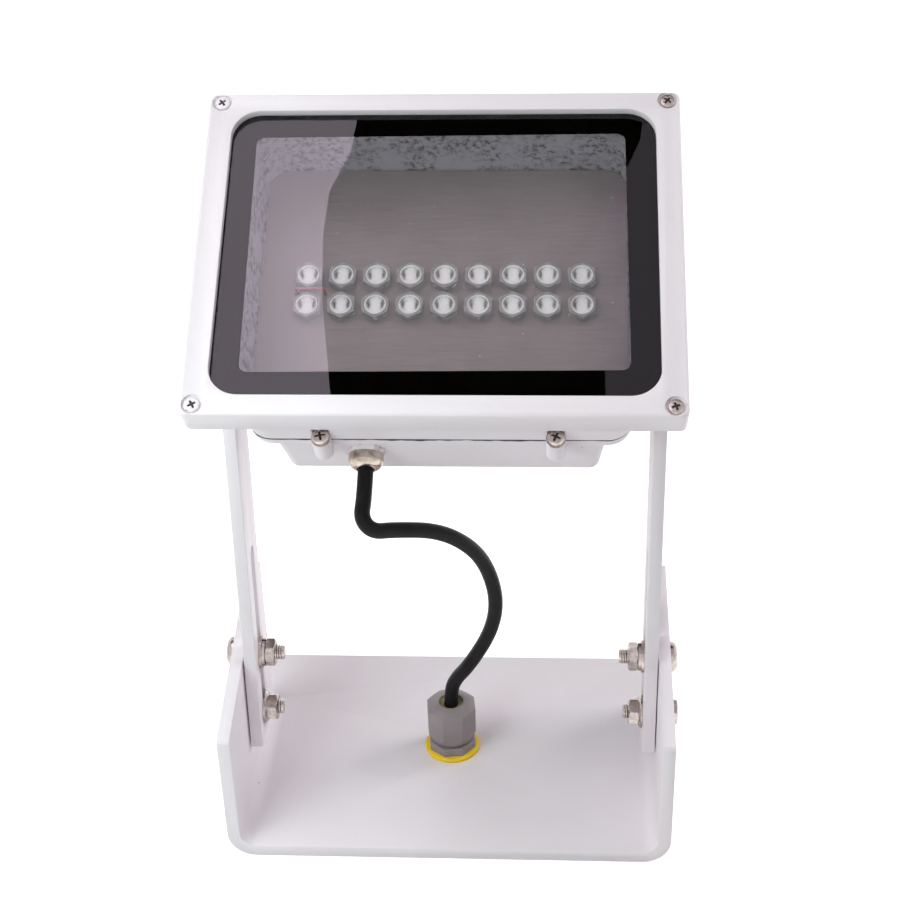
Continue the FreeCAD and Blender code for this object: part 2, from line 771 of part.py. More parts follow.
def ear_spring_washers():
    """Split spring washers between the flat washers and the nuts."""
    body = add_body("ear_spring_washer", bolt_frame(True))
    start = f"({ARM_INNER} - sizes.washer_thickness)"
    add_disc(body, "sizes.spring_washer_diameter", start, "sizes.spring_washer_thickness", NUT_BORE)
    split = add_sketch(body, "YZ_Plane", start)
    add_rectangle(split, "sizes.spring_washer_gap", "sizes.spring_washer_diameter",
                  "0", "sizes.spring_washer_diameter / 2")
    pocket(body, split, "sizes.spring_washer_thickness")
    return pair("ear_spring_washers", body)


def upper_ear_nuts():
    """Plain hex nuts on the upper bolts."""
    body = add_body("upper_ear_nut", bolt_frame(True))
    start = f"({ARM_INNER} - sizes.washer_thickness - sizes.spring_washer_thickness)"
    add_hex(body, "sizes.nut_flats", start, "sizes.nut_height", NUT_BORE)
    return pair("upper_ear_nuts", body)


def lower_flange_nuts():
    """Flange nuts on the lower bolts."""
    body = add_body("lower_flange_nut", bolt_frame(False))
    add_disc(body, "sizes.flange_nut_diameter", ARM_INNER, "sizes.flange_height", NUT_BORE)
    add_hex(body, "sizes.nut_flats", ARM_INNER, "sizes.flange_nut_height", NUT_BORE)
    return pair("lower_flange_nuts", body)


# Gland in the base plate

def ring(body, outer, inner, start, height):
    """A plain ring about Z."""
    sketch = add_sketch(body, "XY_Plane", start)
    add_circle(sketch, outer)
    add_circle(sketch, inner)
    return pad(body, sketch, height)


def base_gland():
    """Yellow washer, eight-sided body through the plate, tall eight-sided nut and rubber seal."""
    washer_top = "sizes.base_gland_washer_thickness"
    body_top = f"({washer_top} + sizes.base_gland_body_height)"
    bore = "(sizes.cable_diameter + 2 * sizes.cable_bore_play)"
    thread_bore = "(sizes.base_gland_thread + 2 * sizes.thread_play)"

    washer = add_body("base_gland_washer", BASE_GLAND_FRAME)
    ring(washer, "sizes.base_gland_washer_diameter", thread_bore, "0", washer_top)

    stud = add_body("base_gland_body", BASE_GLAND_FRAME)
    turn = "(22.5 + sizes.base_gland_turn)"
    eight_sides = add_sketch(stud, "XY_Plane", washer_top)
    add_polygon(eight_sides, 8, "sizes.base_gland_body_flats", turn)
    pad(stud, eight_sides, "sizes.base_gland_body_height")
    thread = add_sketch(stud, "XY_Plane", washer_top)
    add_circle(thread, "sizes.base_gland_thread")
    pad(stud, thread, f"({washer_top} + sizes.plate_thickness - sizes.thread_play)", backwards=True)
    collar = add_sketch(stud, "XY_Plane", body_top)
    add_circle(collar, "sizes.base_gland_collar")
    pad(stud, collar, "sizes.base_gland_collar_height")
    hole = add_sketch(stud, "XY_Plane", f"({body_top} + sizes.base_gland_collar_height)")
    add_circle(hole, bore)
    pocket(stud, hole, f"({body_top} + sizes.base_gland_collar_height + sizes.plate_thickness)")

    nut = add_body("base_gland_nut", BASE_GLAND_FRAME)
    nut_start = f"({body_top} + sizes.base_gland_nut_gap)"
    nut_outline = add_sketch(nut, "XY_Plane", nut_start)
    add_polygon(nut_outline, 8, "sizes.base_gland_nut_flats", turn)
    pad(nut, nut_outline, "sizes.base_gland_nut_height")
    flats = "sizes.base_gland_nut_flats"
    nut_top = f"({nut_start} + sizes.base_gland_nut_height)"
    rim = "(sizes.base_gland_mouth / 2)"
    crown_edge = f"({nut_top} - sizes.base_gland_crown * ({flats} - {rim}) / ({flats} / 2 - {rim}))"
    crown = add_sketch(nut, "XZ_Plane")
    add_outline(crown, [(rim, nut_top), (flats, crown_edge), (flats, nut_top)])
    groove(nut, crown)
    foot_rim = "(sizes.base_gland_foot_diameter / 2)"
    foot_edge = (
        f"({nut_start} + sizes.base_gland_foot * ({flats} - {foot_rim}) / ({flats} / 2 - {foot_rim}))"
    )
    foot = add_sketch(nut, "XZ_Plane")
    add_outline(foot, [(foot_rim, nut_start), (flats, nut_start), (flats, foot_edge)])
    groove(nut, foot)
    seat = f"({body_top} + sizes.base_gland_collar_height)"
    thread_hole = add_sketch(nut, "XY_Plane", seat)
    add_circle(thread_hole, "(sizes.base_gland_collar + sizes.thread_play)")
    pocket(nut, thread_hole, "sizes.base_gland_collar_height")
    mouth = add_sketch(nut, "XY_Plane", seat)
    add_circle(mouth, "sizes.base_gland_mouth")
    pocket(nut, mouth, "sizes.base_gland_nut_height", forwards=True)

    seal = add_body("base_gland_seal", BASE_GLAND_FRAME)
    ring(seal, "(sizes.base_gland_mouth - sizes.thread_play)",
         "(sizes.cable_diameter + 2 * sizes.cable_play)", seat, "sizes.base_gland_seal_height")
    return [washer, stud, nut, seal]


# Slotted arms

def arms():
    """Two flat bars, round at the top, with a long slot over the ear bolts."""
    body = add_body("right_arm", ARM_FRAME)
    outline = add_sketch(body, "YZ_Plane", ARM_INNER)
    half = "(sizes.arm_width / 2)"
    bar = [
        (f"-{half}", "-sizes.arm_foot"), (half, "-sizes.arm_foot"),
        (half, "sizes.arm_reach"), (f"-{half}", "sizes.arm_reach"),
    ]
    add_outline(outline, bar)
    pad(body, outline, "sizes.arm_thickness")
    top = add_sketch(body, "YZ_Plane", ARM_INNER)
    add_circle(top, "sizes.arm_width", "0", "sizes.arm_reach")
    pad(body, top, "sizes.arm_thickness")
    slot = add_sketch(body, "YZ_Plane", ARM_INNER)
    add_slot(slot, "sizes.slot_width", "-sizes.slot_below", "sizes.slot_above")
    pocket(body, slot, "sizes.arm_thickness", forwards=True)
    bore = add_sketch(body, "YZ_Plane", ARM_INNER)
    add_circle(bore, "(sizes.bolt_diameter + sizes.pivot_bore_play)", "0", "sizes.arm_reach")
    pocket(body, bore, "sizes.arm_thickness", forwards=True)
    left = doc.addObject("Part::Mirroring", "left_arm")
    left.Source = body
    left.Normal = V(1, 0, 0)
    return [body, left]


# Pivot

def pivot_bolts():
    """Hex bolts through the arms into the housing's side bosses."""
    body = add_body("pivot_bolt", HEAD_FRAME)
    add_hex(body, "sizes.nut_flats", f"({ARM_OUTER} + sizes.bolt_head_height)", "sizes.bolt_head_height")
    length = f"({ARM_OUTER} - {BOSS_FACE} + sizes.pivot_thread_depth)"
    add_disc(body, "sizes.bolt_diameter", ARM_OUTER, length)
    return pair("pivot_bolts", body)


def pivot_friction_washers():
    """Nylon washers between the side bosses and the arms."""
    body = add_body("pivot_friction_washer", HEAD_FRAME)
    add_disc(body, "sizes.friction_washer_diameter", f"({BOSS_FACE} + sizes.friction_washer_thickness)",
             "sizes.friction_washer_thickness", BOLT_HOLE)
    return pair("pivot_friction_washers", body)


# Bezel and glass

def corner_circles(sketch, diameter, x, y):
    """Four circles, one in each quarter."""
    for side_x in ("", "-"):
        for side_y in ("", "-"):
            add_circle(sketch, diameter, f"{side_x}{x}", f"{side_y}{y}")


def corner_frames(x, y, z):
    """Four frames in the lamp head, one in each quarter."""
    return [moved(HEAD_FRAME, f"{side_x}{x}", f"{side_y}{y}", z)
            for side_x in ("", "-") for side_y in ("", "-")]


def front_bezel():
    """A cast frame with a front lip, corner posts and a skirt round the housing's flange."""
    body = add_body("front_bezel", HEAD_FRAME)
    outside = add_sketch(body, "XY_Plane", FACE)
    add_rounded(outside, "sizes.bezel_width", "sizes.bezel_height", "sizes.bezel_radius")
    pad(body, outside, "sizes.bezel_depth", backwards=True)
    face = number(FACE)
    round_edges(body, "sizes.bezel_edge_round", lambda box: near(box.ZMin, face))
    opening = add_sketch(body, "XY_Plane", FACE)
    add_rounded(opening, "sizes.opening_width", "sizes.opening_height", "sizes.opening_radius")
    pocket(body, opening, "sizes.bezel_depth")
    hollow = add_sketch(body, "XY_Plane", LIP_BACK)
    add_rounded(hollow, "(sizes.bezel_width - 2 * sizes.bezel_wall)",
                "(sizes.bezel_height - 2 * sizes.bezel_wall)", "sizes.bezel_post_radius")
    pocket(body, hollow, "sizes.bezel_depth")
    skirt = add_sketch(body, "XY_Plane", FLANGE_FRONT)
    add_rounded(skirt, "(sizes.bezel_width - 2 * sizes.bezel_skirt)",
                "(sizes.bezel_height - 2 * sizes.bezel_skirt)", SKIRT_RADIUS)
    pocket(body, skirt, "sizes.bezel_depth")
    recesses = add_sketch(body, "XY_Plane", FACE)
    corner_circles(recesses, "sizes.bezel_recess_diameter", BEZEL_SCREW_X, BEZEL_SCREW_Y)
    pocket(body, recesses, "sizes.bezel_recess_depth")
    holes = add_sketch(body, "XY_Plane", FACE)
    corner_circles(holes, "(sizes.bezel_screw_diameter + sizes.bolt_hole_play)",
                   BEZEL_SCREW_X, BEZEL_SCREW_Y)
    pocket(body, holes, "sizes.bezel_depth")
    return body


def bezel_screws():
    """Pan-head screws sitting in the bezel's recesses."""
    body = add_body("bezel_screw")
    head = add_sketch(body)
    add_circle(head, "sizes.bezel_screw_head")
    pad(body, head, "sizes.bezel_screw_head_height")
    top = number("sizes.bezel_screw_head_height")
    round_edges(body, "sizes.bezel_screw_head_round", lambda box: near(box.ZMin, top))
    shank = add_sketch(body)
    add_circle(shank, "sizes.bezel_screw_diameter")
    pad(body, shank, "sizes.bezel_screw_length", backwards=True)
    seat = f"({FACE} - sizes.bezel_recess_depth)"
    return copies("bezel_screws", body, corner_frames(BEZEL_SCREW_X, BEZEL_SCREW_Y, seat))


def glass():
    """Pane, black border printed on its back, and the rubber gasket behind it."""
    pane = add_body("glass_pane", HEAD_FRAME)
    outline = add_sketch(pane, "XY_Plane", LIP_BACK)
    add_rounded(outline, GLASS_WIDTH, GLASS_HEIGHT, "sizes.glass_radius")
    pad(pane, outline, "sizes.glass_thickness", backwards=True)

    border = add_body("glass_border_print", HEAD_FRAME)
    edge = add_sketch(border, "XY_Plane", GLASS_BACK)
    add_rounded(edge, GLASS_WIDTH, GLASS_HEIGHT, "sizes.glass_radius")
    pad(border, edge, "sizes.print_thickness", backwards=True)
    window = add_sketch(border, "XY_Plane", GLASS_BACK)
    add_rounded(window, "sizes.window_width", "sizes.window_height", "sizes.window_radius")
    window.setExpression("AttachmentOffset", (
        f"placement(vector(sizes.window_shift; sizes.window_rise; {GLASS_BACK}); "
        "rotation(vector(0; 0; 1); sizes.window_turn))"
    ))
    pocket(border, window, "sizes.print_thickness")

    gasket = add_body("glass_gasket", HEAD_FRAME)
    band = add_sketch(gasket, "XY_Plane", PRINT_BACK)
    add_rounded(band, GLASS_WIDTH, GLASS_HEIGHT, "sizes.glass_radius")
    add_rounded(band, f"({GLASS_WIDTH} - 2 * sizes.glass_gasket_width)",
                f"({GLASS_HEIGHT} - 2 * sizes.glass_gasket_width)",
                "(sizes.glass_radius - sizes.glass_gasket_width)")
    pad(gasket, band, "sizes.glass_gasket_thickness", backwards=True)
    return [pane, border, gasket]


# Main housing and rear cover

def main_housing():
    """One casting: flange, drafted walls, floor, side bosses and screw lugs."""
    body = add_body("main_housing", HEAD_FRAME)
    flange = add_sketch(body, "XY_Plane", FLANGE_FRONT)
    add_rounded(flange, FLANGE_WIDTH, FLANGE_HEIGHT, f"({SKIRT_RADIUS} - sizes.flange_play)")
    pad(body, flange, f"{FLANGE_FRONT} - {FLANGE_BACK}", backwards=True)
    front = add_sketch(body, "XY_Plane", FLANGE_BACK)
    add_rounded(front, "sizes.housing_width", "sizes.housing_height", "sizes.housing_radius")
    back = add_sketch(body, "XY_Plane", HOUSING_BACK)
    add_rounded(back, HOUSING_BACK_WIDTH, HOUSING_BACK_HEIGHT, "sizes.housing_radius")
    loft(body, front, back)
    lugs = add_sketch(body, "XY_Plane", LUG_FRONT)
    corner_circles(lugs, "(2 * sizes.lug_radius)", "sizes.lug_x", "sizes.lug_y")
    pad(body, lugs, f"{LUG_FRONT} - {LUG_BACK}", backwards=True)
    bosses = add_sketch(body, "YZ_Plane")
    add_circle(bosses, "sizes.pivot_boss_diameter")
    pad(body, bosses, f"2 * {BOSS_FACE}", both=True)
    mouth = add_sketch(body, "XY_Plane", FLANGE_FRONT)
    add_rounded(mouth, "sizes.cavity_width", "sizes.cavity_height", "sizes.cavity_radius")
    bottom = add_sketch(body, "XY_Plane", FLOOR_FRONT)
    add_rounded(bottom, CAVITY_BACK_WIDTH, CAVITY_BACK_HEIGHT, "sizes.cavity_radius")
    cut_loft(body, mouth, bottom)
    spots = add_sketch(body, "XY_Plane", LUG_FRONT)
    corner_circles(spots, "(2 * sizes.lug_radius)", "sizes.lug_x", "sizes.lug_y")
    pocket(body, spots, "sizes.spotface_height", forwards=True)
    screw_holes = add_sketch(body, "XY_Plane", LUG_FRONT)
    corner_circles(screw_holes, "(sizes.cover_screw_diameter + sizes.bolt_hole_play)",
                   "sizes.lug_x", "sizes.lug_y")
    pocket(body, screw_holes, f"{LUG_FRONT} - {LUG_BACK}")
    bezel_holes = add_sketch(body, "XY_Plane", FLANGE_FRONT)
    corner_circles(bezel_holes, "(sizes.bezel_screw_diameter + sizes.thread_play)",
                   BEZEL_SCREW_X, BEZEL_SCREW_Y)
    pocket(body, bezel_holes, f"{FLANGE_FRONT} - {FLANGE_BACK}")
    for side, backwards in (("", False), ("-", True)):
        thread = add_sketch(body, "YZ_Plane", f"{side}{BOSS_FACE}")
        add_circle(thread, NUT_BORE)
        pocket(body, thread, "sizes.pivot_thread_depth", forwards=backwards)
    lead_hole = add_sketch(body, "XY_Plane", FLOOR_FRONT)
    add_circle(lead_hole, "sizes.lead_hole_diameter", "sizes.link_wire_start", "sizes.led_rise")
    pocket(body, lead_hole, "sizes.floor_thickness")
    plate_holes = add_sketch(body, "XY_Plane", FLOOR_FRONT)
    for side in ("", "-"):
        add_circle(plate_holes, "(sizes.bezel_screw_diameter + sizes.thread_play)",
                   f"{side}sizes.plate_screw_x", "sizes.plate_screw_y")
    pocket(body, plate_holes, "sizes.floor_thickness")
    return body


def rear_gasket():
    """A black band between the housing's back and the cover."""
    body = add_body("rear_gasket", HEAD_FRAME)
    band = add_sketch(body, "XY_Plane", HOUSING_BACK)
    add_rounded(band, COVER_WIDTH, COVER_HEIGHT, "sizes.housing_radius")
    add_rounded(band, f"({COVER_WIDTH} - 2 * sizes.rear_gasket_width)",
                f"({COVER_HEIGHT} - 2 * sizes.rear_gasket_width)",
                "(sizes.housing_radius - sizes.rear_gasket_width)")
    pad(body, band, "sizes.rear_gasket_thickness", backwards=True)
    notches = add_sketch(body, "XY_Plane", HOUSING_BACK)
    corner_circles(notches, "(2 * sizes.lug_radius + sizes.thread_play)", "sizes.lug_x", "sizes.lug_y")
    pocket(body, notches, "sizes.rear_gasket_thickness")
    return body


def rear_cover():
    """One casting: flange, drafted box with a round end, and screw bosses."""
    body = add_body("rear_cover", HEAD_FRAME)
    front = add_sketch(body, "XY_Plane", BOX_FRONT)
    add_rounded(front, "sizes.cover_box_width", "sizes.cover_box_height", "sizes.cover_box_radius")
    back = add_sketch(body, "XY_Plane", BOX_END)
    add_rounded(back, "(sizes.cover_box_width - 2 * sizes.cover_draft_x)",
                "(sizes.cover_box_height - 2 * sizes.cover_draft_y)", "sizes.cover_box_radius")
    loft(body, front, back)
    end = number(BOX_END)
    round_edges(body, "sizes.cover_end_round", lambda box: near(box.ZMax, end))
    flange = add_sketch(body, "XY_Plane", COVER_FRONT)
    add_rounded(flange, COVER_WIDTH, COVER_HEIGHT, "sizes.housing_radius")
    pad(body, flange, "sizes.cover_flange_thickness", backwards=True)
    seed = add_sketch(body, "XY_Plane", LUG_BACK)
    corner_circles(seed, "(2 * sizes.lug_radius)", "sizes.lug_x", "sizes.lug_y")
    boss_length = f"({LUG_BACK} - {COVER_FRONT} + sizes.cover_boss_depth)"
    pad(body, seed, boss_length, backwards=True)
    boss_end = number(f"{COVER_FRONT} - sizes.cover_boss_depth")
    round_edges(body, "sizes.cover_boss_round", lambda box: near(box.ZMax, boss_end))
    mouth = add_sketch(body, "XY_Plane", COVER_FRONT)
    inside_width = "sizes.cover_box_width - 2 * sizes.cover_wall"
    inside_height = "sizes.cover_box_height - 2 * sizes.cover_wall"
    inside_radius = "(sizes.cover_box_radius - sizes.cover_wall)"
    add_rounded(mouth, f"({inside_width} + 2 * sizes.cover_draft_x * {HOLLOW_FRONT_SHARE})",
                f"({inside_height} + 2 * sizes.cover_draft_y * {HOLLOW_FRONT_SHARE})", inside_radius)
    bottom = add_sketch(body, "XY_Plane", BOX_FLOOR)
    add_rounded(bottom, f"({inside_width} - 2 * sizes.cover_draft_x * {HOLLOW_BACK_SHARE})",
                f"({inside_height} - 2 * sizes.cover_draft_y * {HOLLOW_BACK_SHARE})", inside_radius)
    cut_loft(body, mouth, bottom)
    driver_holes = add_sketch(body, "XY_Plane", BOX_FLOOR)
    for side in ("", "-"):
        add_circle(driver_holes, "(sizes.bezel_screw_diameter + sizes.thread_play)",
                   f"(sizes.driver_x + {side}{DRIVER_TAB_X})", "sizes.driver_y")
    pocket(body, driver_holes, "sizes.driver_screw_grip")
    threads = add_sketch(body, "XY_Plane", LUG_BACK)
    corner_circles(threads, "(sizes.cover_screw_diameter + sizes.thread_play)",
                   "sizes.lug_x", "sizes.lug_y")
    pocket(body, threads, "(sizes.cover_screw_length - sizes.lug_height)")
    gland_hole = add_sketch(body, "XY_Plane")
    add_circle(gland_hole, "(sizes.head_gland_thread + 2 * sizes.thread_play)")
    gland_hole.setExpression("AttachmentOffset", (
        f"placement(vector(sizes.head_gland_x; {GLAND_WALL_Y}; {GLAND_Z}); "
        f"rotation(vector(1; 0; 0); 90 deg + {WALL_DRAFT}))"
    ))
    pocket(body, gland_hole, "(2 * sizes.cover_wall + 2 * sizes.head_gland_hex_height)", both=True)
    return body


def cover_hardware():
    """Screws and washers that pull the rear cover onto the housing."""
    screw = add_body("cover_screw")
    head = add_sketch(screw)
    add_circle(head, "sizes.cover_screw_head")
    pad(screw, head, "sizes.cover_screw_head_height")
    top = number("sizes.cover_screw_head_height")
    round_edges(screw, "sizes.cover_screw_head_round", lambda box: near(box.ZMin, top))
    shank = add_sketch(screw)
    add_circle(shank, "sizes.cover_screw_diameter")
    pad(screw, shank, "sizes.cover_screw_length", backwards=True)
    seat = f"({LUG_FRONT} + sizes.cover_washer_thickness)"
    screws = copies("cover_screws", screw, corner_frames("sizes.lug_x", "sizes.lug_y", seat))
    washer = add_body("cover_washer")
    ring(washer, "sizes.cover_washer_diameter", "(sizes.cover_screw_diameter + sizes.bolt_hole_play)",
         "0", "sizes.cover_washer_thickness")
    washers = copies("cover_washers", washer, corner_frames("sizes.lug_x", "sizes.lug_y", LUG_FRONT))
    return [screws, washers]


# Light source

def led_plate():
    """The aluminium plate on the housing's floor, and its two screws."""
    body = add_body("led_plate", HEAD_FRAME)
    outline = add_sketch(body, "XY_Plane", FLOOR_FRONT)
    add_rounded(outline, f"({CAVITY_BACK_WIDTH} - 2 * sizes.led_plate_gap)",
                f"({CAVITY_BACK_HEIGHT} - 2 * sizes.led_plate_gap)", "sizes.led_plate_radius")
    pad(body, outline, "sizes.led_plate_thickness")
    holes = add_sketch(body, "XY_Plane", PLATE_FRONT)
    for side in ("", "-"):
        add_circle(holes, "(sizes.bezel_screw_diameter + sizes.bolt_hole_play)",
                   f"{side}sizes.plate_screw_x", "sizes.plate_screw_y")
    add_circle(holes, "(2 * sizes.link_wire_diameter)", "sizes.link_wire_start", "sizes.led_rise")
    pocket(body, holes, "sizes.led_plate_thickness")
    screw = add_body("led_plate_screw")
    head = add_sketch(screw)
    add_circle(head, "sizes.bezel_screw_head")
    pad(screw, head, "sizes.bezel_screw_head_height")
    shank = add_sketch(screw)
    add_circle(shank, "sizes.bezel_screw_diameter")
    pad(screw, shank, "(sizes.led_plate_thickness + sizes.floor_thickness)", backwards=True)
    frames = [moved(HEAD_FRAME, f"{side}sizes.plate_screw_x", "sizes.plate_screw_y", PLATE_FRONT)
              for side in ("", "-")]
    return [body, copies("led_plate_screws", screw, frames)]


def led_start(count, pitch, centre):
    """The first place of an evenly spaced row about a centre."""
    return f"({centre} - {pitch} * ({count} - 1) / 2)"


def leds():
    """Emitters on the plate, each under a clear six-sided lens with a cup in its front."""
    x = led_start("sizes.led_columns", "sizes.led_pitch_x", "sizes.led_shift")
    y = led_start("sizes.led_rows", "sizes.led_pitch_y", "sizes.led_rise")
    spacing = ("sizes.led_columns", "sizes.led_pitch_x", "sizes.led_rows", "sizes.led_pitch_y")

    emitters = add_body("led_emitters", moved(HEAD_FRAME, x, y, PLATE_FRONT))
    square = add_sketch(emitters)
    add_rectangle(square, "sizes.emitter_side", "sizes.emitter_side")
    grid(emitters, pad(emitters, square, "sizes.emitter_height"), *spacing)

    lens = add_body("led_lens")
    outline = add_sketch(lens)
    add_hexagon(outline, "sizes.lens_flats", "30")
    pad(lens, outline, "sizes.lens_height")
    cup = add_sketch(lens, "XZ_Plane")
    cup_floor = "(sizes.lens_height - sizes.lens_cup_depth)"
    add_outline(cup, [
        ("0", cup_floor), ("sizes.lens_cup_floor / 2", cup_floor),
        ("sizes.lens_cup_diameter / 2", "sizes.lens_height"), ("0", "sizes.lens_height"),
    ])
    groove(lens, cup)
    seat = add_sketch(lens)
    add_circle(seat, "sizes.lens_seat_diameter")
    pocket(lens, seat, "(sizes.emitter_height + sizes.running_gap)", forwards=True)
    frames = []
    for column in range(int(number("sizes.led_columns"))):
        for row_index in range(int(number("sizes.led_rows"))):
            frames.append(moved(HEAD_FRAME, f"({x} + {column} * sizes.led_pitch_x)",
                                f"({y} + {row_index} * sizes.led_pitch_y)", PLATE_FRONT))
    return [emitters, copies("led_lenses", lens, frames)]


def led_link_wire():
    """A red wire up through the plate, over the lenses between the rows and down again."""
    radius = number("sizes.link_wire_diameter / 2")
    top = number(f"{PLATE_FRONT} + sizes.lens_height") + radius
    start = number("sizes.link_wire_start")
    end = number("sizes.link_wire_end")
    rise = number("sizes.led_rise")
    foot = number(FLOOR_FRONT)
    route = [V(start, rise, foot), V(start, rise, top), V(end, rise, top), V(end, rise, number(PLATE_FRONT))]
    rounds = [number("sizes.link_wire_round")] * 2
    wire = doc.addObject("Part::Feature", "led_link_wire")
    wire.Shape = tube(route, rounds, radius)
    wire.setExpression("Placement", HEAD_FRAME)
    return wire


# Inside the rear cover

def driver():
    """The driver case on the cover's floor, its screws, and the terminal block."""
    case = add_body("led_driver", moved(HEAD_FRAME, "sizes.driver_x", "sizes.driver_y", BOX_FLOOR))
    tabs = add_sketch(case)
    add_rectangle(tabs, "(sizes.driver_width + 2 * sizes.driver_tab)", "(2 * sizes.driver_tab)")
    pad(case, tabs, "sizes.driver_tab_thickness")
    outline = add_sketch(case)
    add_rectangle(outline, "sizes.driver_width", "sizes.driver_height")
    pad(case, outline, "sizes.driver_depth")
    holes = add_sketch(case)
    for side in ("", "-"):
        add_circle(holes, "(sizes.bezel_screw_diameter + sizes.bolt_hole_play)", f"{side}{DRIVER_TAB_X}")
    pocket(case, holes, "sizes.driver_tab_thickness", forwards=True)

    screw = add_body("driver_screw")
    head = add_sketch(screw)
    add_circle(head, "sizes.bezel_screw_head")
    pad(screw, head, "sizes.bezel_screw_head_height")
    shank = add_sketch(screw)
    add_circle(shank, "sizes.bezel_screw_diameter")
    pad(screw, shank, "(sizes.driver_tab_thickness + sizes.driver_screw_grip)", backwards=True)
    seat = f"({BOX_FLOOR} + sizes.driver_tab_thickness)"
    frames = [moved(HEAD_FRAME, f"(sizes.driver_x + {side}{DRIVER_TAB_X})", "sizes.driver_y", seat)
              for side in ("", "-")]
    screws = copies("driver_screws", screw, frames)

    block = add_body("terminal_block", moved(HEAD_FRAME, "sizes.terminal_x", "sizes.terminal_y", BOX_FLOOR))
    shape = add_sketch(block)
    add_rectangle(shape, "sizes.terminal_width", "sizes.terminal_height")
    pad(block, shape, "sizes.terminal_depth")
    return [case, screws, block]


def core_wires():
    """The lead from the LED plate to the driver, and the cores from the gland to the terminals."""
    radius = number("sizes.core_wire_diameter / 2")
    floor = number(BOX_FLOOR)
    driver_side = number("sizes.driver_x - sizes.driver_width / 2")
    lead_level = floor + number("sizes.lead_height")
    start = number("sizes.link_wire_start")
    rise = number("sizes.led_rise")
    lead = [
        V(start, rise, number(FLOOR_FRONT)),
        V(start, rise, floor + number("sizes.lead_rise")),
        V(driver_side - number("sizes.lead_run"), number("sizes.driver_y"), lead_level),
        V(driver_side, number("sizes.driver_y"), lead_level),
    ]
    block_top = V(number("sizes.terminal_x"), number("sizes.terminal_y"),
                  number(f"{BOX_FLOOR} + sizes.terminal_depth"))
    gland_mouth = V(number("sizes.head_gland_x"), number(GLAND_WALL_Y), number(GLAND_Z))
    draft = math.radians(number(WALL_DRAFT))
    inwards = V(0, math.cos(draft), math.sin(draft))
    cores = [
        gland_mouth.add(V(inwards).multiply(number("sizes.cores_start"))),
        gland_mouth.add(V(inwards).multiply(number("sizes.cores_start + sizes.cores_run"))),
        block_top.add(V(0, 0, number("sizes.cores_drop"))),
        block_top,
    ]
    made = []
    for name, route in (("led_lead", lead), ("supply_cores", cores)):
        wire = doc.addObject("Part::Feature", name)
        wire.Shape = tube(route, corner_rounds(route), radius)
        wire.setExpression("Placement", HEAD_FRAME)
        made.append(wire)
    return made


# Gland in the rear cover

def head_gland():
    """Body with a hex under a domed nut, a rubber seal, and a locknut inside the wall."""
    hex_top = "sizes.head_gland_hex_height"
    nut_top = f"({hex_top} + sizes.head_gland_nut_height)"
    bore = "(sizes.cable_diameter + 2 * sizes.cable_bore_play)"
    collar_height = "(sizes.head_gland_nut_height - sizes.head_gland_seal_height)"

    stud = add_body("head_gland_body", HEAD_GLAND_FRAME)
    flange = add_sketch(stud)
    add_hexagon(flange, "sizes.head_gland_flats")
    pad(stud, flange, hex_top)
    thread = add_sketch(stud)
    add_circle(thread, "sizes.head_gland_thread")
    pad(stud, thread, "(sizes.cover_wall + sizes.locknut_height + sizes.head_gland_thread_end)",
        backwards=True)
    collar = add_sketch(stud, "XY_Plane", hex_top)
    add_circle(collar, "sizes.head_gland_collar")
    pad(stud, collar, collar_height)
    hole = add_sketch(stud, "XY_Plane", f"({hex_top} + {collar_height})")
    add_circle(hole, bore)
    depth = (
        f"({hex_top} + {collar_height} + sizes.cover_wall + sizes.locknut_height "
        "+ sizes.head_gland_thread_end)"
    )
    pocket(stud, hole, depth)

    nut = add_body("head_gland_nut", HEAD_GLAND_FRAME)
    dome = add_sketch(nut, "XY_Plane", hex_top)
    add_circle(dome, "sizes.head_gland_nut_diameter")
    pad(nut, dome, "sizes.head_gland_nut_height")
    top = number(nut_top)
    round_edges(nut, "sizes.head_gland_dome_round", lambda box: near(box.ZMin, top))
    inner = add_sketch(nut, "XY_Plane", hex_top)
    add_circle(inner, "(sizes.head_gland_collar + sizes.thread_play)")
    pocket(nut, inner, "(sizes.head_gland_nut_height - sizes.head_gland_nut_lip)", forwards=True)
    mouth = add_sketch(nut, "XY_Plane", hex_top)
    add_circle(mouth, "sizes.head_gland_mouth")
    pocket(nut, mouth, "sizes.head_gland_nut_height", forwards=True)

    seal = add_body("head_gland_seal", HEAD_GLAND_FRAME)
    ring(seal, "sizes.head_gland_collar", "(sizes.cable_diameter + 2 * sizes.cable_play)",
         f"({hex_top} + {collar_height})", "(sizes.head_gland_seal_height - sizes.head_gland_nut_lip)")

    locknut = add_body("head_gland_locknut", HEAD_GLAND_FRAME)
    outline = add_sketch(locknut, "XY_Plane", "-sizes.cover_wall")
    add_hexagon(outline, "sizes.locknut_flats")
    add_circle(outline, "(sizes.head_gland_thread + sizes.thread_play)")
    pad(locknut, outline, "sizes.locknut_height", backwards=True)
    return [stud, nut, seal, locknut]


# Cable

def supply_cable():
    """The black cable from gland to gland."""
    points = [V(*point) for point in CABLE_ROUTE]
    rounds = corner_rounds(points)
    print("cable radii", [round(size, 1) for size in rounds])
    cable = doc.addObject("Part::Feature", "supply_cable")
    cable.Shape = tube(points, rounds, number("sizes.cable_diameter / 2"))
    return cable


PIECES = [
    base_bracket(),
    upper_ear_bolts(),
    lower_ear_bolts(),
    ear_flat_washers(),
    ear_spring_washers(),
    upper_ear_nuts(),
    lower_flange_nuts(),
    *base_gland(),
    *arms(),
    supply_cable(),
    pivot_bolts(),
    pivot_friction_washers(),
    front_bezel(),
    bezel_screws(),
    *glass(),
    main_housing(),
    rear_gasket(),
    rear_cover(),
    *cover_hardware(),
    *led_plate(),
    *leds(),
    led_link_wire(),
    *driver(),
    *core_wires(),
    *head_gland(),
]

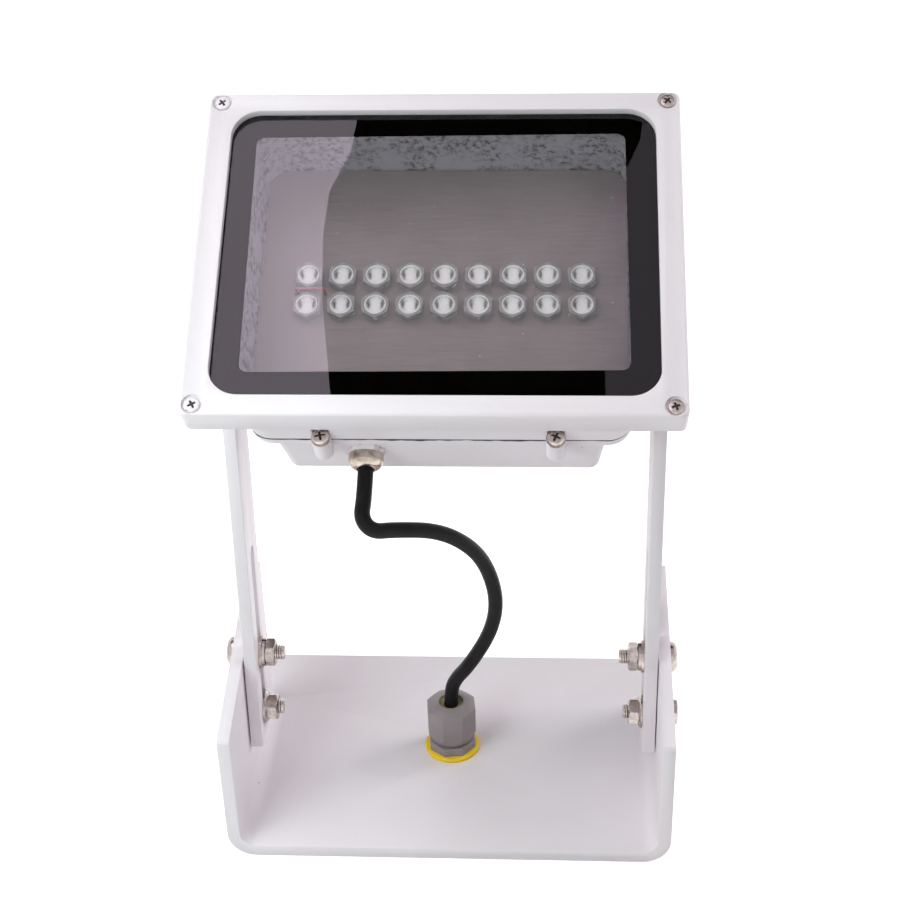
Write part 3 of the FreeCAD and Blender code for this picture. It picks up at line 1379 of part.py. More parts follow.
doc.recompute()
for item in doc.Objects:
    if "Invalid" in item.State or "Error" in item.State:
        raise ValueError(f"{item.Label} failed: {item.State}")
for piece in PIECES:
    shape = piece.Shape
    if shape.isNull() or not shape.isValid() or not shape.Solids:
        raise ValueError(f"{piece.Label} has no valid solid")

os.makedirs("parts", exist_ok=True)
for piece in PIECES:
    piece.Shape.exportStep(f"parts/{piece.Label}.step")
    print(f"{piece.Label}: {len(piece.Shape.Solids)} solids, {piece.Shape.Volume:.0f}")
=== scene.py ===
# %% [markdown]
# # An LED flood light on a folded bracket
# This lesson dresses a finished CAD model. The CAD part already has the right sizes, the
# right pieces and the right joints, so nothing here moves or reshapes it. What is added is
# how it looks: powder coat, bare casting, printed glass, clear lenses, zinc screws and a
# bent black cable.
#
# Each CAD piece arrives as its own object, already in place and hung on the body that
# carries it. The load keeps each piece's place in its mesh and takes it off that body.

# %% Load the part
import math

import bmesh
import bpy
import numpy as np
from mathutils import Matrix, Vector


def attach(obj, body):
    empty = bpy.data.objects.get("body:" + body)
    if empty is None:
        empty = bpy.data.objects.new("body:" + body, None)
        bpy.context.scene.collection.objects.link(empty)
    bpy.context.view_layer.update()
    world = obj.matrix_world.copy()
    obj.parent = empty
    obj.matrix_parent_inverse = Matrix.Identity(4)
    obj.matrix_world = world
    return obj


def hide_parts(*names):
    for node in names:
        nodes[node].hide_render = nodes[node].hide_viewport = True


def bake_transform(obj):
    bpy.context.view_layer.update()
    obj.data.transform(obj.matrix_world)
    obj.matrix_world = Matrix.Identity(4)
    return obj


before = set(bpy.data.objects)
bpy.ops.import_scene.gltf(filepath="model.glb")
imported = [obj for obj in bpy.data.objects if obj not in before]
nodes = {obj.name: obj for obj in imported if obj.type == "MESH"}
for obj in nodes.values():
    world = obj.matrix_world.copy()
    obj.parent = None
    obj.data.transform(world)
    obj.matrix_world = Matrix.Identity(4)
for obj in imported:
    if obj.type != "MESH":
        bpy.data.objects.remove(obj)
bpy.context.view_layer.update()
print("nodes:", len(nodes))

# %% [markdown]
# ## Places on the lamp
# The lamp head leans back about its pivot, so its pieces are easiest to place in its own
# directions: across the face, up the face, and out of the face. One matrix turns those into
# the directions of the whole part. Depth is counted from the front of the bezel, so
# everything behind it has a negative depth.

# %% The lamp head's own directions
MM = 0.001
PIVOT = (0.0, -0.001789, 0.293305)
FACE_TILT = math.radians(34.6)
FACE_TO_PIVOT = 31.0 * MM
HEAD = (
    Matrix.Translation(PIVOT)
    @ Matrix.Rotation(FACE_TILT, 4, "X")
    @ Matrix.Translation((0.0, 0.0, FACE_TO_PIVOT))
)


def on_face(across, up, out):
    """A place on the lamp head, in millimetres from the middle of its face."""
    return HEAD @ Vector((across * MM, up * MM, out * MM))


def new_object(name, data):
    """An object with this data, in the scene."""
    made = bpy.data.objects.new(name, data)
    bpy.context.scene.collection.objects.link(made)
    return made


def stand_in(piece, body, source):
    """The piece rides on a body and takes the place of a CAD piece."""
    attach(piece, body)
    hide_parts(source)


print("middle of the face:", [round(value, 4) for value in on_face(0, 0, 0)])

# %% [markdown]
# ## The camera
# The camera stands where the photographer stood: in front, a little to the right, and high
# enough to look down into the lamp. Its place, turn and focal length were fitted to the
# corners of the bezel, the bolts and the base, which is why they aren't round numbers.

# %% Camera
CAMERA_PLACE = (0.051193, -0.733328, 0.634461)
CAMERA_YAW = 0.063366
CAMERA_PITCH = -0.538421
CAMERA_ROLL = 0.0268
SENSOR_WIDTH = 36.0
FOCAL_LENGTH = 67.03

camera_data = bpy.data.cameras.new("photo_camera")
camera_data.sensor_width = SENSOR_WIDTH
camera_data.lens = FOCAL_LENGTH
camera = new_object("photo_camera", camera_data)
camera.matrix_world = (
    Matrix.Translation(CAMERA_PLACE)
    @ Matrix.Rotation(CAMERA_YAW, 4, "Z")
    @ Matrix.Rotation(CAMERA_PITCH + math.pi / 2, 4, "X")
    @ Matrix.Rotation(-CAMERA_ROLL, 4, "Z")
)
bpy.context.scene.camera = camera
bpy.context.scene.view_settings.view_transform = "Standard"
print("camera:", CAMERA_PLACE, "lens", FOCAL_LENGTH)

# %% [markdown]
# ## Helpers for materials
# Every finish here is a small network of nodes. A few functions keep that readable. The main
# one fills in a node's inputs by name: a number or a colour is typed in, and the output of
# another node is linked. A number that holds all over a surface needs no node of its own.

# %% Node helpers
SURFACE = {}


def fill(tree, socket, value):
    """A socket takes a number, a colour or the output of another node."""
    if hasattr(value, "is_linked"):
        tree.links.new(value, socket)
    elif isinstance(value, tuple) and socket.type == "RGBA":
        socket.default_value = (*value, 1.0)
    else:
        socket.default_value = value


def feed(tree, node, **values):
    """Each named input of a node takes its value."""
    for key, value in values.items():
        fill(tree, node.inputs[key.replace("_", " ")], value)


def add(tree, kind, **settings):
    """A node of that kind. Settings that aren't its properties are its inputs."""
    node = tree.nodes.new(kind)
    for key, value in settings.items():
        if hasattr(node, key):
            setattr(node, key, value)
        else:
            feed(tree, node, **{key: value})
    return node


def start_material(name, **shader):
    """A material with one Principled shader, and where it is in the part as a vector."""
    material = bpy.data.materials.new(name)
    material.use_nodes = True
    tree = material.node_tree
    principled = tree.nodes["Principled BSDF"]
    feed(tree, principled, **shader)
    SURFACE[name] = material
    return tree, principled, tree.nodes.new("ShaderNodeTexCoord").outputs["Object"]


def ramp(tree, source, stops):
    """A colour ramp fed by source, with stops of (position, colour)."""
    node = add(tree, "ShaderNodeValToRGB", Fac=source)
    band = node.color_ramp
    while len(band.elements) < len(stops):
        band.elements.new(0.5)
    for element, (position, colour) in zip(band.elements, stops):
        element.position = position
        element.color = (*colour, 1.0)
    return node.outputs["Color"]


def paint_over(tree, mask, under, over):
    """A colour that is under where mask is 0 and over where it is 1."""
    node = add(tree, "ShaderNodeMix", data_type="RGBA")
    for index, value in ((0, mask), (6, under), (7, over)):
        fill(tree, node.inputs[index], value)
    return node.outputs[2]


def roughen(tree, principled, height, strength, distance):
    """A bump from a height, in metres, on the shader."""
    bump = add(tree, "ShaderNodeBump", Strength=strength, Distance=distance, Height=height)
    feed(tree, principled, Normal=bump.outputs["Normal"])


print("helpers ready")

# %% Sums and noise
def work(tree, operation, first, second=None):
    """A Math node on one or two sockets or numbers."""
    node = add(tree, "ShaderNodeMath", operation=operation)
    fill(tree, node.inputs[0], first)
    if second is not None:
        fill(tree, node.inputs[1], second)
    return node.outputs[0]


def noise(tree, place, scale, detail=2.0, rough=0.5):
    """Noise on a place, from 0 to 1."""
    node = add(tree, "ShaderNodeTexNoise", Vector=place, Scale=scale, Detail=detail, Roughness=rough)
    return node.outputs["Fac"]


def sharpen(tree, source, low, high):
    """Source stretched so that low becomes 0 and high becomes 1, and cut off there."""
    return add(tree, "ShaderNodeMapRange", Value=source, From_Min=low, From_Max=high).outputs["Result"]


def between(tree, source, low, high):
    """A value from low to high as source goes from 0 to 1."""
    return add(tree, "ShaderNodeMapRange", Value=source, To_Min=low, To_Max=high).outputs["Result"]


def stretched(tree, place, scale):
    """A place with its three directions scaled, so that what is laid on it gets longer."""
    return add(tree, "ShaderNodeMapping", Vector=place, Scale=scale).outputs["Vector"]


print("sums and noise ready")

# %% [markdown]
# ## Effects that several finishes share
# Every painted piece needs the same small things: the skin that a paint gun leaves, soft
# patches where the colour drifts, and a scatter of specks. Two node groups make them, each
# with its own named inputs, built once and placed in every paint.

# %% Shared effects
def start_group(name, inputs, outputs):
    """A shader group with these inputs and their values, and its two end nodes."""
    group = bpy.data.node_groups.new(name, "ShaderNodeTree")
    group.interface.new_socket("Place", in_out="INPUT", socket_type="NodeSocketVector")
    for label, value in inputs:
        socket = group.interface.new_socket(label, in_out="INPUT", socket_type="NodeSocketFloat")
        socket.default_value = value
    for label in outputs:
        group.interface.new_socket(label, in_out="OUTPUT", socket_type="NodeSocketFloat")
    return group, group.nodes.new("NodeGroupInput").outputs, group.nodes.new("NodeGroupOutput")


skin_group, given, result = start_group(
    "paint_skin", [("Peel Scale", 650.0), ("Lump Scale", 90.0), ("Lumps", 1.0)], ["Height", "Patches"])
peel = noise(skin_group, given["Place"], given["Peel Scale"])
lumps = work(skin_group, "MULTIPLY", noise(skin_group, given["Place"], given["Lump Scale"]), given["Lumps"])
patches = sharpen(skin_group, noise(skin_group, given["Place"], 11.0, detail=3.0), 0.35, 0.68)
feed(skin_group, result, Height=work(skin_group, "ADD", peel, lumps), Patches=patches)

speck_group, given, result = start_group(
    "specks", [("Scale", 120.0), ("Size", 0.12), ("Share", 0.05)], ["Mask"])
seeds = add(speck_group, "ShaderNodeTexVoronoi", Vector=given["Place"], Scale=given["Scale"])
near_seed = work(speck_group, "LESS_THAN", seeds.outputs["Distance"], given["Size"])
chance = add(speck_group, "ShaderNodeSeparateColor", Color=seeds.outputs["Color"])
chosen = work(speck_group, "LESS_THAN", chance.outputs["Red"], given["Share"])
feed(speck_group, result, Mask=work(speck_group, "MULTIPLY", near_seed, chosen))
print("groups:", [group.name for group in bpy.data.node_groups])

# %% [markdown]
# ## White paint on the bracket and arms
# The bracket and arms are steel plate under white powder coat. Powder melts into a satin
# skin with a fine orange peel, a slightly warmer tone in patches, and the odd speck of grit
# caught under it. A plain white would look like card, so each of those is added.

# %% White paint
PAINT_LIGHT = (0.83, 0.775, 0.82)
PAINT_WARM = (0.80, 0.735, 0.775)
GRIT_BROWN = (0.45, 0.33, 0.27)


def white_paint(name, lump_scale, lumps, grit, strength):
    """White paint. Lumps are the size of what lies under it."""
    tree, principled, place = start_material(name, Roughness=0.42, Specular_IOR_Level=0.4)
    skin = add(tree, "ShaderNodeGroup", node_tree=skin_group, Place=place,
               Lump_Scale=lump_scale, Lumps=lumps)
    specks = add(tree, "ShaderNodeGroup", node_tree=speck_group, Place=place,
                 Scale=75.0, Size=0.045, Share=grit)
    colour = paint_over(tree, skin.outputs["Patches"], PAINT_LIGHT, PAINT_WARM)
    colour = paint_over(tree, specks.outputs["Mask"], colour, GRIT_BROWN)
    feed(tree, principled, Base_Color=colour)
    roughen(tree, principled, skin.outputs["Height"], strength, 0.2 * MM)
    return tree, principled, place, colour


white_paint("plate_paint", 60.0, 1.0, 0.05, 0.35)
white_paint("cast_paint", 140.0, 2.4, 0.02, 0.5)
print("paints:", list(SURFACE))

# %% [markdown]
# ## The bare inside of the housing
# The housing is painted outside and left bare inside, where the casting shows a blotched
# blue-grey skin with dark flecks. It is one piece of metal, so one material has both
# finishes and a mask in the head's own directions tells them apart.

# %% Housing: paint outside, bare casting inside
CAVITY_HALF_X = 0.0949
CAVITY_HALF_Y = 0.0731
CAVITY_CORNER_SUM = 0.1640
CAVITY_FLOOR = -0.0468
CAVITY_TAPER = -0.106
CAVITY_TAPER_UP = -0.07
BARE_PALE = (0.50, 0.50, 0.575)
BARE_MID = (0.31, 0.305, 0.345)
BARE_DARK = (0.085, 0.078, 0.085)

tree, principled, place, paint = white_paint("housing_skin", 140.0, 2.4, 0.02, 0.4)
in_head = add(tree, "ShaderNodeMapping", vector_type="TEXTURE", Vector=place,
              Location=tuple(on_face(0, 0, 0)), Rotation=(FACE_TILT, 0.0, 0.0))
axes = add(tree, "ShaderNodeSeparateXYZ", Vector=in_head.outputs["Vector"]).outputs
taper = work(tree, "MULTIPLY", axes["Z"], CAVITY_TAPER)
sideways = work(tree, "ADD", work(tree, "ABSOLUTE", axes["X"]), taper)
upwards = work(tree, "ABSOLUTE", axes["Y"])
taper_up = work(tree, "MULTIPLY", axes["Z"], CAVITY_TAPER_UP)
corner_sum = work(tree, "ADD", taper_up, work(tree, "ADD", sideways, upwards))
inside = work(tree, "GREATER_THAN", axes["Z"], CAVITY_FLOOR)
limits = ((sideways, CAVITY_HALF_X), (upwards, CAVITY_HALF_Y), (corner_sum, CAVITY_CORNER_SUM))
for value, limit in limits:
    inside = work(tree, "MULTIPLY", inside, work(tree, "LESS_THAN", value, limit))
blotches = noise(tree, place, 330.0, detail=6.0, rough=0.72)
bare = ramp(tree, blotches, [(0.41, BARE_DARK), (0.47, BARE_MID), (0.56, BARE_PALE)])
streaks = sharpen(tree, noise(tree, place, 60.0, detail=3.0), 0.48, 0.66)
bare = paint_over(tree, streaks, bare, BARE_PALE)
feed(tree, principled, Base_Color=paint_over(tree, inside, paint, bare))
print("bare inside the housing, painted outside")

# %% [markdown]
# ## Metals
# The bolts, nuts and washers are zinc or nickel plated and have been handled, so their shine
# is broken up: brighter where it was rubbed, duller and warmer in between. A fine grain in
# the bump keeps the highlights from looking like chrome.

# %% Metals
METAL_GRAIN = 0.1 * MM
PLATE_PALE = (0.335, 0.285, 0.292)
PLATE_DARK = (0.245, 0.204, 0.210)
SCREW_PALE = (0.72, 0.65, 0.61)
SCREW_DARK = (0.50, 0.43, 0.40)
SLOT_PAINTED_SHADE = (0.045, 0.028, 0.022)


def plated_metal(name, bright, dull, roughest, smoothest, grain_scale, strength):
    """A plated metal, dull and rough in patches, with a fine grain."""
    tree, principled, place = start_material(name, Metallic=1.0)
    patches = noise(tree, place, 260.0)
    feed(tree, principled, Base_Color=ramp(tree, patches, [(0.34, dull), (0.62, bright)]),
         Roughness=between(tree, patches, roughest, smoothest))
    roughen(tree, principled, noise(tree, place, grain_scale), strength, METAL_GRAIN)


plated_metal("zinc", (0.60, 0.535, 0.505), (0.42, 0.36, 0.335), 0.3, 0.18, 1600.0, 0.07)
plated_metal("nickel", (0.60, 0.52, 0.45), (0.44, 0.36, 0.30), 0.26, 0.16, 1500.0, 0.06)
plated_metal("steel_inside", (0.52, 0.51, 0.50), (0.34, 0.33, 0.32), 0.5, 0.3, 2000.0, 0.3)

tree, principled, place = start_material("led_plate_metal", Metallic=0.35, Roughness=0.55)
brush_lines = noise(tree, stretched(tree, place, (14.0, 160.0, 160.0)), 5.0, detail=5.0, rough=0.6)
cloud = noise(tree, place, 24.0, detail=4.0, rough=0.6)
mixed = work(tree, "ADD", work(tree, "MULTIPLY", brush_lines, 0.45), work(tree, "MULTIPLY", cloud, 0.55))
feed(tree, principled, Base_Color=ramp(tree, mixed, [(0.34, PLATE_DARK), (0.66, PLATE_PALE)]))
roughen(tree, principled, brush_lines, 0.25, METAL_GRAIN)


def screw_finish(name, painted_below_x):
    """Screw metal with a cross painted dark as shade in its slots, and white paint on the screws left of
    that place.
    """
    tree, principled, place = start_material(name, Roughness=0.4)
    steel_patches = noise(tree, place, 500.0, detail=3.0)
    steel = ramp(tree, steel_patches, [(0.35, SCREW_DARK), (0.65, SCREW_PALE)])
    across = add(tree, "ShaderNodeSeparateXYZ", Vector=place).outputs["X"]
    chipped = work(tree, "GREATER_THAN", noise(tree, place, 700.0, detail=3.0), 0.36)
    painted = work(tree, "MULTIPLY", work(tree, "LESS_THAN", across, painted_below_x), chipped)
    cut = add(tree, "ShaderNodeAttribute", attribute_name="cut").outputs["Fac"]
    colour = paint_over(tree, painted, steel, PAINT_LIGHT)
    # Painted shade: the slots of the cross are coloured dark, as the shade that falls in them, and lose
    # their metal shine.
    colour = paint_over(tree, sharpen(tree, cut, 0.15, 0.5), colour, SLOT_PAINTED_SHADE)
    uncut = work(tree, "LESS_THAN", cut, 0.3)
    bright_metal = work(tree, "MULTIPLY", work(tree, "SUBTRACT", 1.0, painted), uncut)
    feed(tree, principled, Base_Color=colour, Metallic=bright_metal)
    roughen(tree, principled, steel_patches, 0.2, METAL_GRAIN)


screw_finish("bezel_screw_metal", 0.0)
screw_finish("cover_screw_metal", -1.0)
print("metals:", len(SURFACE), "finishes so far")

# %% [markdown]
# ## The gland under the lamp
# Whoever painted or sealed the lamp went over the gland's six-sided flange and a little of
# its nut. White covers the flange with dark scratches in it, and only a few smears reach the
# nut.

# %% Smears of white on the head gland
GLAND_DULL = (0.44, 0.36, 0.30)
SCRATCH_GREY = (0.30, 0.28, 0.29)


def smeared(name, metal, share):
    """A metal with white smeared over a share of it, and dark scratches through the white."""
    tree, principled, place = start_material(name, Roughness=0.24)
    streaky = stretched(tree, place, (1.0, 2.2, 2.2))
    covered = sharpen(tree, noise(tree, streaky, 190.0, detail=4.0, rough=0.6), 0.62 - share, 0.66 - share)
    bare_metal = ramp(tree, noise(tree, place, 240.0), [(0.34, GLAND_DULL), (0.62, metal)])
    scratched = sharpen(tree, noise(tree, streaky, 420.0, detail=5.0, rough=0.7), 0.60, 0.64)
    white = paint_over(tree, scratched, PAINT_LIGHT, SCRATCH_GREY)
    feed(tree, principled, Base_Color=paint_over(tree, covered, bare_metal, white),
         Metallic=work(tree, "SUBTRACT", 1.0, covered))
    roughen(tree, principled, covered, 0.5, 0.2 * MM)


smeared("smeared_paint", (0.62, 0.55, 0.49), 0.26)
smeared("smeared_nickel", (0.60, 0.52, 0.45), -0.16)
print("smeared:", [name for name in SURFACE if name.startswith("smeared")])

# %% [markdown]
# ## Plastics, rubber and the cable's sheath
# Moulded parts have a faint texture from the mould and slightly uneven gloss. The same
# recipe with other colours and scales gives the grey gland, its yellow washer, the seals,
# the driver's case and the cable.

# %% Plastics and rubber
def moulded(name, pale, dark, smoothest, roughest, texture_scale, strength, patch_scale=60.0, shine=0.5):
    """A moulded material with a drifting colour and a fine texture."""
    tree, principled, place = start_material(name, Specular_IOR_Level=shine)
    drift = noise(tree, place, patch_scale, detail=3.0)
    feed(tree, principled, Base_Color=ramp(tree, drift, [(0.35, dark), (0.65, pale)]),
         Roughness=between(tree, noise(tree, place, patch_scale * 2.5), smoothest, roughest))
    roughen(tree, principled, noise(tree, place, texture_scale), strength, 0.1 * MM)


moulded("grey_plastic", (0.285, 0.243, 0.250), (0.230, 0.196, 0.204), 0.34, 0.5, 1500.0, 0.3)
moulded("yellow_plastic", (0.90, 0.62, 0.018), (0.82, 0.54, 0.014), 0.35, 0.5, 900.0, 0.2)
moulded("seal_rubber", (0.30, 0.27, 0.11), (0.20, 0.18, 0.08), 0.5, 0.7, 900.0, 0.3)
moulded("black_rubber", (0.03, 0.028, 0.03), (0.014, 0.013, 0.014), 0.55, 0.75, 1200.0, 0.4)
moulded("nylon", (0.74, 0.72, 0.66), (0.68, 0.66, 0.60), 0.4, 0.55, 900.0, 0.2)
moulded("driver_case", (0.74, 0.74, 0.73), (0.68, 0.68, 0.67), 0.4, 0.5, 700.0, 0.25)
moulded("wire_red", (0.62, 0.20, 0.24), (0.52, 0.12, 0.16), 0.3, 0.45, 2000.0, 0.2)
moulded("phosphor", (0.80, 0.76, 0.60), (0.74, 0.70, 0.52), 0.3, 0.4, 2000.0, 0.2, 400.0)
moulded("cable_sheath", (0.0085, 0.008, 0.009), (0.005, 0.0048, 0.0055), 0.34, 0.5, 1100.0, 0.22,
        90.0, shine=0.14)
moulded("border_ink", (0.003, 0.0026, 0.0022), (0.002, 0.0018, 0.0015), 0.8, 0.9, 500.0, 0.02, shine=0.0)
moulded("dust", (0.85, 0.84, 0.84), (0.75, 0.74, 0.74), 0.8, 0.9, 900.0, 0.1)
print("finishes:", len(SURFACE))

# %% [markdown]
# ## Glass, its black print and the lens plastic
# The pane is real glass with a front and a back, so each side gives its own faint
# reflection. The black border is printed on the back of the pane. The ink touches the glass,
# so it is set just inside the pane's back and only the front reflection shows on it. The
# lenses are clear plastic, a little less clean than the glass.

# %% Glass and lens plastic
GLASS_TINTS = [(0.3, (0.975, 0.985, 0.98)), (0.7, (0.985, 0.99, 0.99))]
LENS_TINTS = [(0.3, (0.86, 0.83, 0.835)), (0.7, (0.95, 0.93, 0.935))]
CUP_REFLECTION_TONES = [(0.0, (0.13, 0.12, 0.12)), (0.45, (0.52, 0.51, 0.51)), (0.7, (0.86, 0.86, 0.86)),
             (1.0, (1.0, 1.0, 1.0))]

tree, principled, place = start_material("pane_glass", Transmission_Weight=1.0, IOR=1.5)
tint = ramp(tree, noise(tree, place, 8.0), GLASS_TINTS)
smear = sharpen(tree, noise(tree, place, 14.0, detail=4.0), 0.55, 0.8)
feed(tree, principled, Base_Color=tint, Roughness=work(tree, "MULTIPLY", smear, 0.003))

tree, principled, place = start_material("lens_plastic", Transmission_Weight=0.72, IOR=1.49, Roughness=0.16)
haze = noise(tree, place, 600.0, detail=3.0)
feed(tree, principled, Base_Color=ramp(tree, haze, LENS_TINTS))
roughen(tree, principled, haze, 0.15, 0.2 * MM)

# Painted reflection: the cup's colour is the room mirrored in it, read from a number on its points, with a
# fine painted sparkle.
tree, principled, place = start_material("lens_cup_painted_reflection", Roughness=0.22)
painted_reflection = add(tree, "ShaderNodeAttribute", attribute_name="painted_reflection").outputs["Fac"]
painted_sparkle = work(tree, "SUBTRACT", noise(tree, place, 1100.0, detail=3.0, rough=0.75), 0.5)
painted_reflection = work(tree, "ADD", painted_reflection, work(tree, "MULTIPLY", painted_sparkle, 1.1))
feed(tree, principled, Base_Color=ramp(tree, painted_reflection, CUP_REFLECTION_TONES))
print("finishes:", len(SURFACE))

# %% [markdown]
# ## Which finish each CAD piece wears
# Most CAD pieces already have the right shape and stay as they are, with a finish from the
# list above. The few that need finer shapes than a CAD model carries are replaced further
# down, and each of those takes its finish there.

# %% Finishes for the CAD pieces
FINISH = {
    "plate_paint": ("base_bracket", "left_arm", "right_arm"),
    "cast_paint": ("front_bezel", "rear_cover"),
    "housing_skin": ("main_housing",),
    "zinc": ("ear_flat_washers", "ear_spring_washers", "cover_washers", "pivot_bolts",
             "upper_ear_bolts", "lower_ear_bolts", "upper_ear_nuts", "lower_flange_nuts",
             "cover_screws", "bezel_screws"),
    "smeared_paint": ("head_gland_body",),
    "smeared_nickel": ("head_gland_nut",),
    "steel_inside": ("led_plate_screws", "driver_screws"),
    "nickel": ("head_gland_locknut",),
    "grey_plastic": ("base_gland_body", "base_gland_nut"),
    "yellow_plastic": ("base_gland_washer",),
    "seal_rubber": ("base_gland_seal",),
    "black_rubber": ("glass_gasket", "rear_gasket", "head_gland_seal"),
    "nylon": ("pivot_friction_washers",),
    "driver_case": ("led_driver", "terminal_block"),
    "wire_red": ("led_link_wire",),
    "phosphor": ("led_emitters",),
    "cable_sheath": ("led_lead", "supply_cores", "supply_cable"),
    "pane_glass": ("glass_pane",),
    "border_ink": ("glass_border_print",),
    "led_plate_metal": ("led_plate",),
    "lens_plastic": ("led_lenses",),
}


def wear(piece, finish):
    """The piece gets this finish and no other."""
    piece.data.materials.clear()
    piece.data.materials.append(SURFACE[finish])


for finish, names in FINISH.items():
    for name in names:
        wear(nodes[name], finish)
print("dressed:", sum(len(names) for names in FINISH.values()), "of", len(nodes))

# %% [markdown]
# ## The cable
# The cable leaves the gland under the lamp, folds forward, swings out to the right and drops
# into the gland in the base. It is one smooth curve. A curve with no thickness is laid
# towards a few points and read back as a line, and a round sheath is swept along that line.

# %% Lines, sheets and sweeps
def smooth_line(name, points, steps):
    """Places along the NURBS curve with these control points."""
    curve = bpy.data.curves.new(name, "CURVE")
    curve.dimensions = "3D"
    curve.resolution_u = steps
    spline = curve.splines.new("NURBS")
    spline.points.add(len(points) - 1)
    for control, point in zip(spline.points, points):
        control.co = (*point, 1.0)
    spline.order_u = 3
    spline.use_endpoint_u = True
    holder = new_object(name, curve)
    line = bpy.data.meshes.new_from_object(holder)
    places = [vertex.co.copy() for vertex in line.vertices]
    bpy.data.objects.remove(holder)
    bpy.data.meshes.remove(line)
    return places


def mesh_piece(name, vertices, faces, finish, smooth=True):
    """A new object at the origin with this mesh and finish."""
    mesh = bpy.data.meshes.new(name)
    mesh.from_pydata([tuple(vertex) for vertex in vertices], [], faces)
    mesh.validate()
    piece = new_object(name, mesh)
    wear(piece, finish)
    if smooth:
        mesh.shade_smooth()
    return piece


def ring_faces(rings, steps, closed=False):
    """Faces between rings of points, and from the last ring to the first if closed."""
    faces = []
    for ring in range(rings if closed else rings - 1):
        here = ring * steps
        above = (ring + 1) % rings * steps
        for step in range(steps):
            after = (step + 1) % steps
            faces.append((here + step, here + after, above + after, above + step))
    return faces


def sweep(line, radius, sides):
    """Rings along a line, closed at both ends, as vertices and faces."""
    vertices = []
    across = Vector((1.0, 0.0, 0.0))
    for index, place in enumerate(line):
        ahead = line[min(index + 1, len(line) - 1)] - line[max(index - 1, 0)]
        ahead.normalize()
        across = (across - ahead * across.dot(ahead)).normalized()
        up = ahead.cross(across)
        for side in range(sides):
            angle = 2 * math.pi * side / sides
            vertices.append(place + (across * math.cos(angle) + up * math.sin(angle)) * radius)
    faces = ring_faces(len(line), sides)
    faces.append(tuple(range(sides))[::-1])
    faces.append(tuple(range(len(vertices) - sides, len(vertices))))
    return vertices, faces


print("lines, sheets and sweeps ready")

# %% Cable
CABLE_POINTS = (
    (-0.0355, -0.0432, 0.2217), (-0.0355, -0.0596, 0.2086), (-0.0365, -0.0700, 0.2035),
    (-0.0310, -0.0730, 0.1980), (-0.0220, -0.0650, 0.1940), (-0.0020, -0.0500, 0.1840),
    (0.0130, -0.0380, 0.1670), (0.0210, -0.0270, 0.1460), (0.0250, -0.0190, 0.1200),
    (0.0210, -0.0110, 0.0940), (0.0090, -0.0070, 0.0690), (0.0000, -0.0015, 0.0540),
    (-0.0020, 0.0005, 0.0420), (-0.0020, 0.0005, 0.0320),
)
CABLE_DIAMETER = 0.0076
CABLE_SIDES = 28
CABLE_STEPS = 16

cable_line = smooth_line("cable_line", CABLE_POINTS, CABLE_STEPS)
cable = mesh_piece("cable_sheathed", *sweep(cable_line, CABLE_DIAMETER / 2, CABLE_SIDES), "cable_sheath")
cable_run = sum((second - first).length for first, second in zip(cable_line, cable_line[1:]))
print("cable: %.0f mm along %d places" % (cable_run / MM, len(cable_line)))
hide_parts("supply_cable")
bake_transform(cable)

# %% [markdown]
# ## Soft edges
# Powder coat rounds every edge it runs over, and a moulded nut has no knife edges either. The
# CAD pieces have sharp ones. A copy of each large piece gets its triangles joined up again
# and a Bevel modifier on its edges, and then stands in for the CAD piece.

# %% Copies with soft edges
FINE_MERGE = 2e-6
MERGE = 1e-6
FLAT_WITHIN = math.radians(1.0)


def clean(mesh, merge=None, outwards=True, flatten=None):
    """Doubles merged, faces turned outwards and flat areas made whole, as asked."""
    sheet = bmesh.new()
    sheet.from_mesh(mesh)
    if merge:
        bmesh.ops.remove_doubles(sheet, verts=sheet.verts, dist=merge)
    if outwards:
        bmesh.ops.recalc_face_normals(sheet, faces=sheet.faces)
    if flatten:
        bmesh.ops.dissolve_limit(sheet, angle_limit=flatten, verts=sheet.verts, edges=sheet.edges)
    sheet.to_mesh(mesh)
    sheet.free()


def read_back(piece, modifier):
    """The piece's mesh becomes what its modifier makes of it, and the modifier goes."""
    bpy.context.view_layer.update()
    made = bpy.data.meshes.new_from_object(piece.evaluated_get(bpy.context.evaluated_depsgraph_get()))
    piece.modifiers.remove(modifier)
    piece.data = made


def soften(source, finish, body, width, bend):
    """A copy of a CAD piece with its edges rounded."""
    mesh = nodes[source].data.copy()
    clean(mesh, merge=FINE_MERGE, outwards=False, flatten=FLAT_WITHIN)
    mesh.shade_smooth()
    piece = new_object("soft_" + source, mesh)
    bevel = piece.modifiers.new("soft_edges", "BEVEL")
    bevel.width = width
    bevel.segments = 2
    bevel.limit_method = "ANGLE"
    bevel.angle_limit = math.radians(bend)
    bevel.harden_normals = True
    read_back(piece, bevel)
    wear(piece, finish)
    stand_in(piece, body, source)
    print(piece.name, len(piece.data.polygons), "faces")


for source, finish, slot, body, width, bend in (
    ("base_bracket", "plate_paint", "white_paint", "base", 0.9, 30.0),
    ("left_arm", "plate_paint", "white_paint", "arms", 0.7, 30.0),
    ("right_arm", "plate_paint", "white_paint", "arms", 0.7, 30.0),
    ("front_bezel", "cast_paint", "cast_paint", "head", 0.45, 30.0),
    ("base_gland_nut", "grey_plastic", "grey_plastic", "base", 0.35, 15.0),
    ("base_gland_body", "grey_plastic", "grey_plastic", "base", 0.3, 30.0),
    ("base_gland_washer", "yellow_plastic", "yellow_plastic", "base", 0.5, 30.0),
):
    soften(source, finish, body, width * MM, bend)

# %% [markdown]
# ## The printed border
# The print lies on the pane's back with no gap, and two faces in one place flicker in a
# render. A thin sheet of ink that starts just inside the glass has the same look and no
# shared face. Its window sits a little high and a touch out of square, as the real one does.

# %% Ink sheet
PANE_HALF = (104.6, 79.0)
PANE_CORNER = 14.0
WINDOW_HALF = (87.75, 63.0)
WINDOW_CORNER = 4.0
WINDOW_PLACE = (-0.9, 2.4)
WINDOW_TURN = math.radians(0.5)
INK_FRONT = -7.95
INK_BACK = -8.15


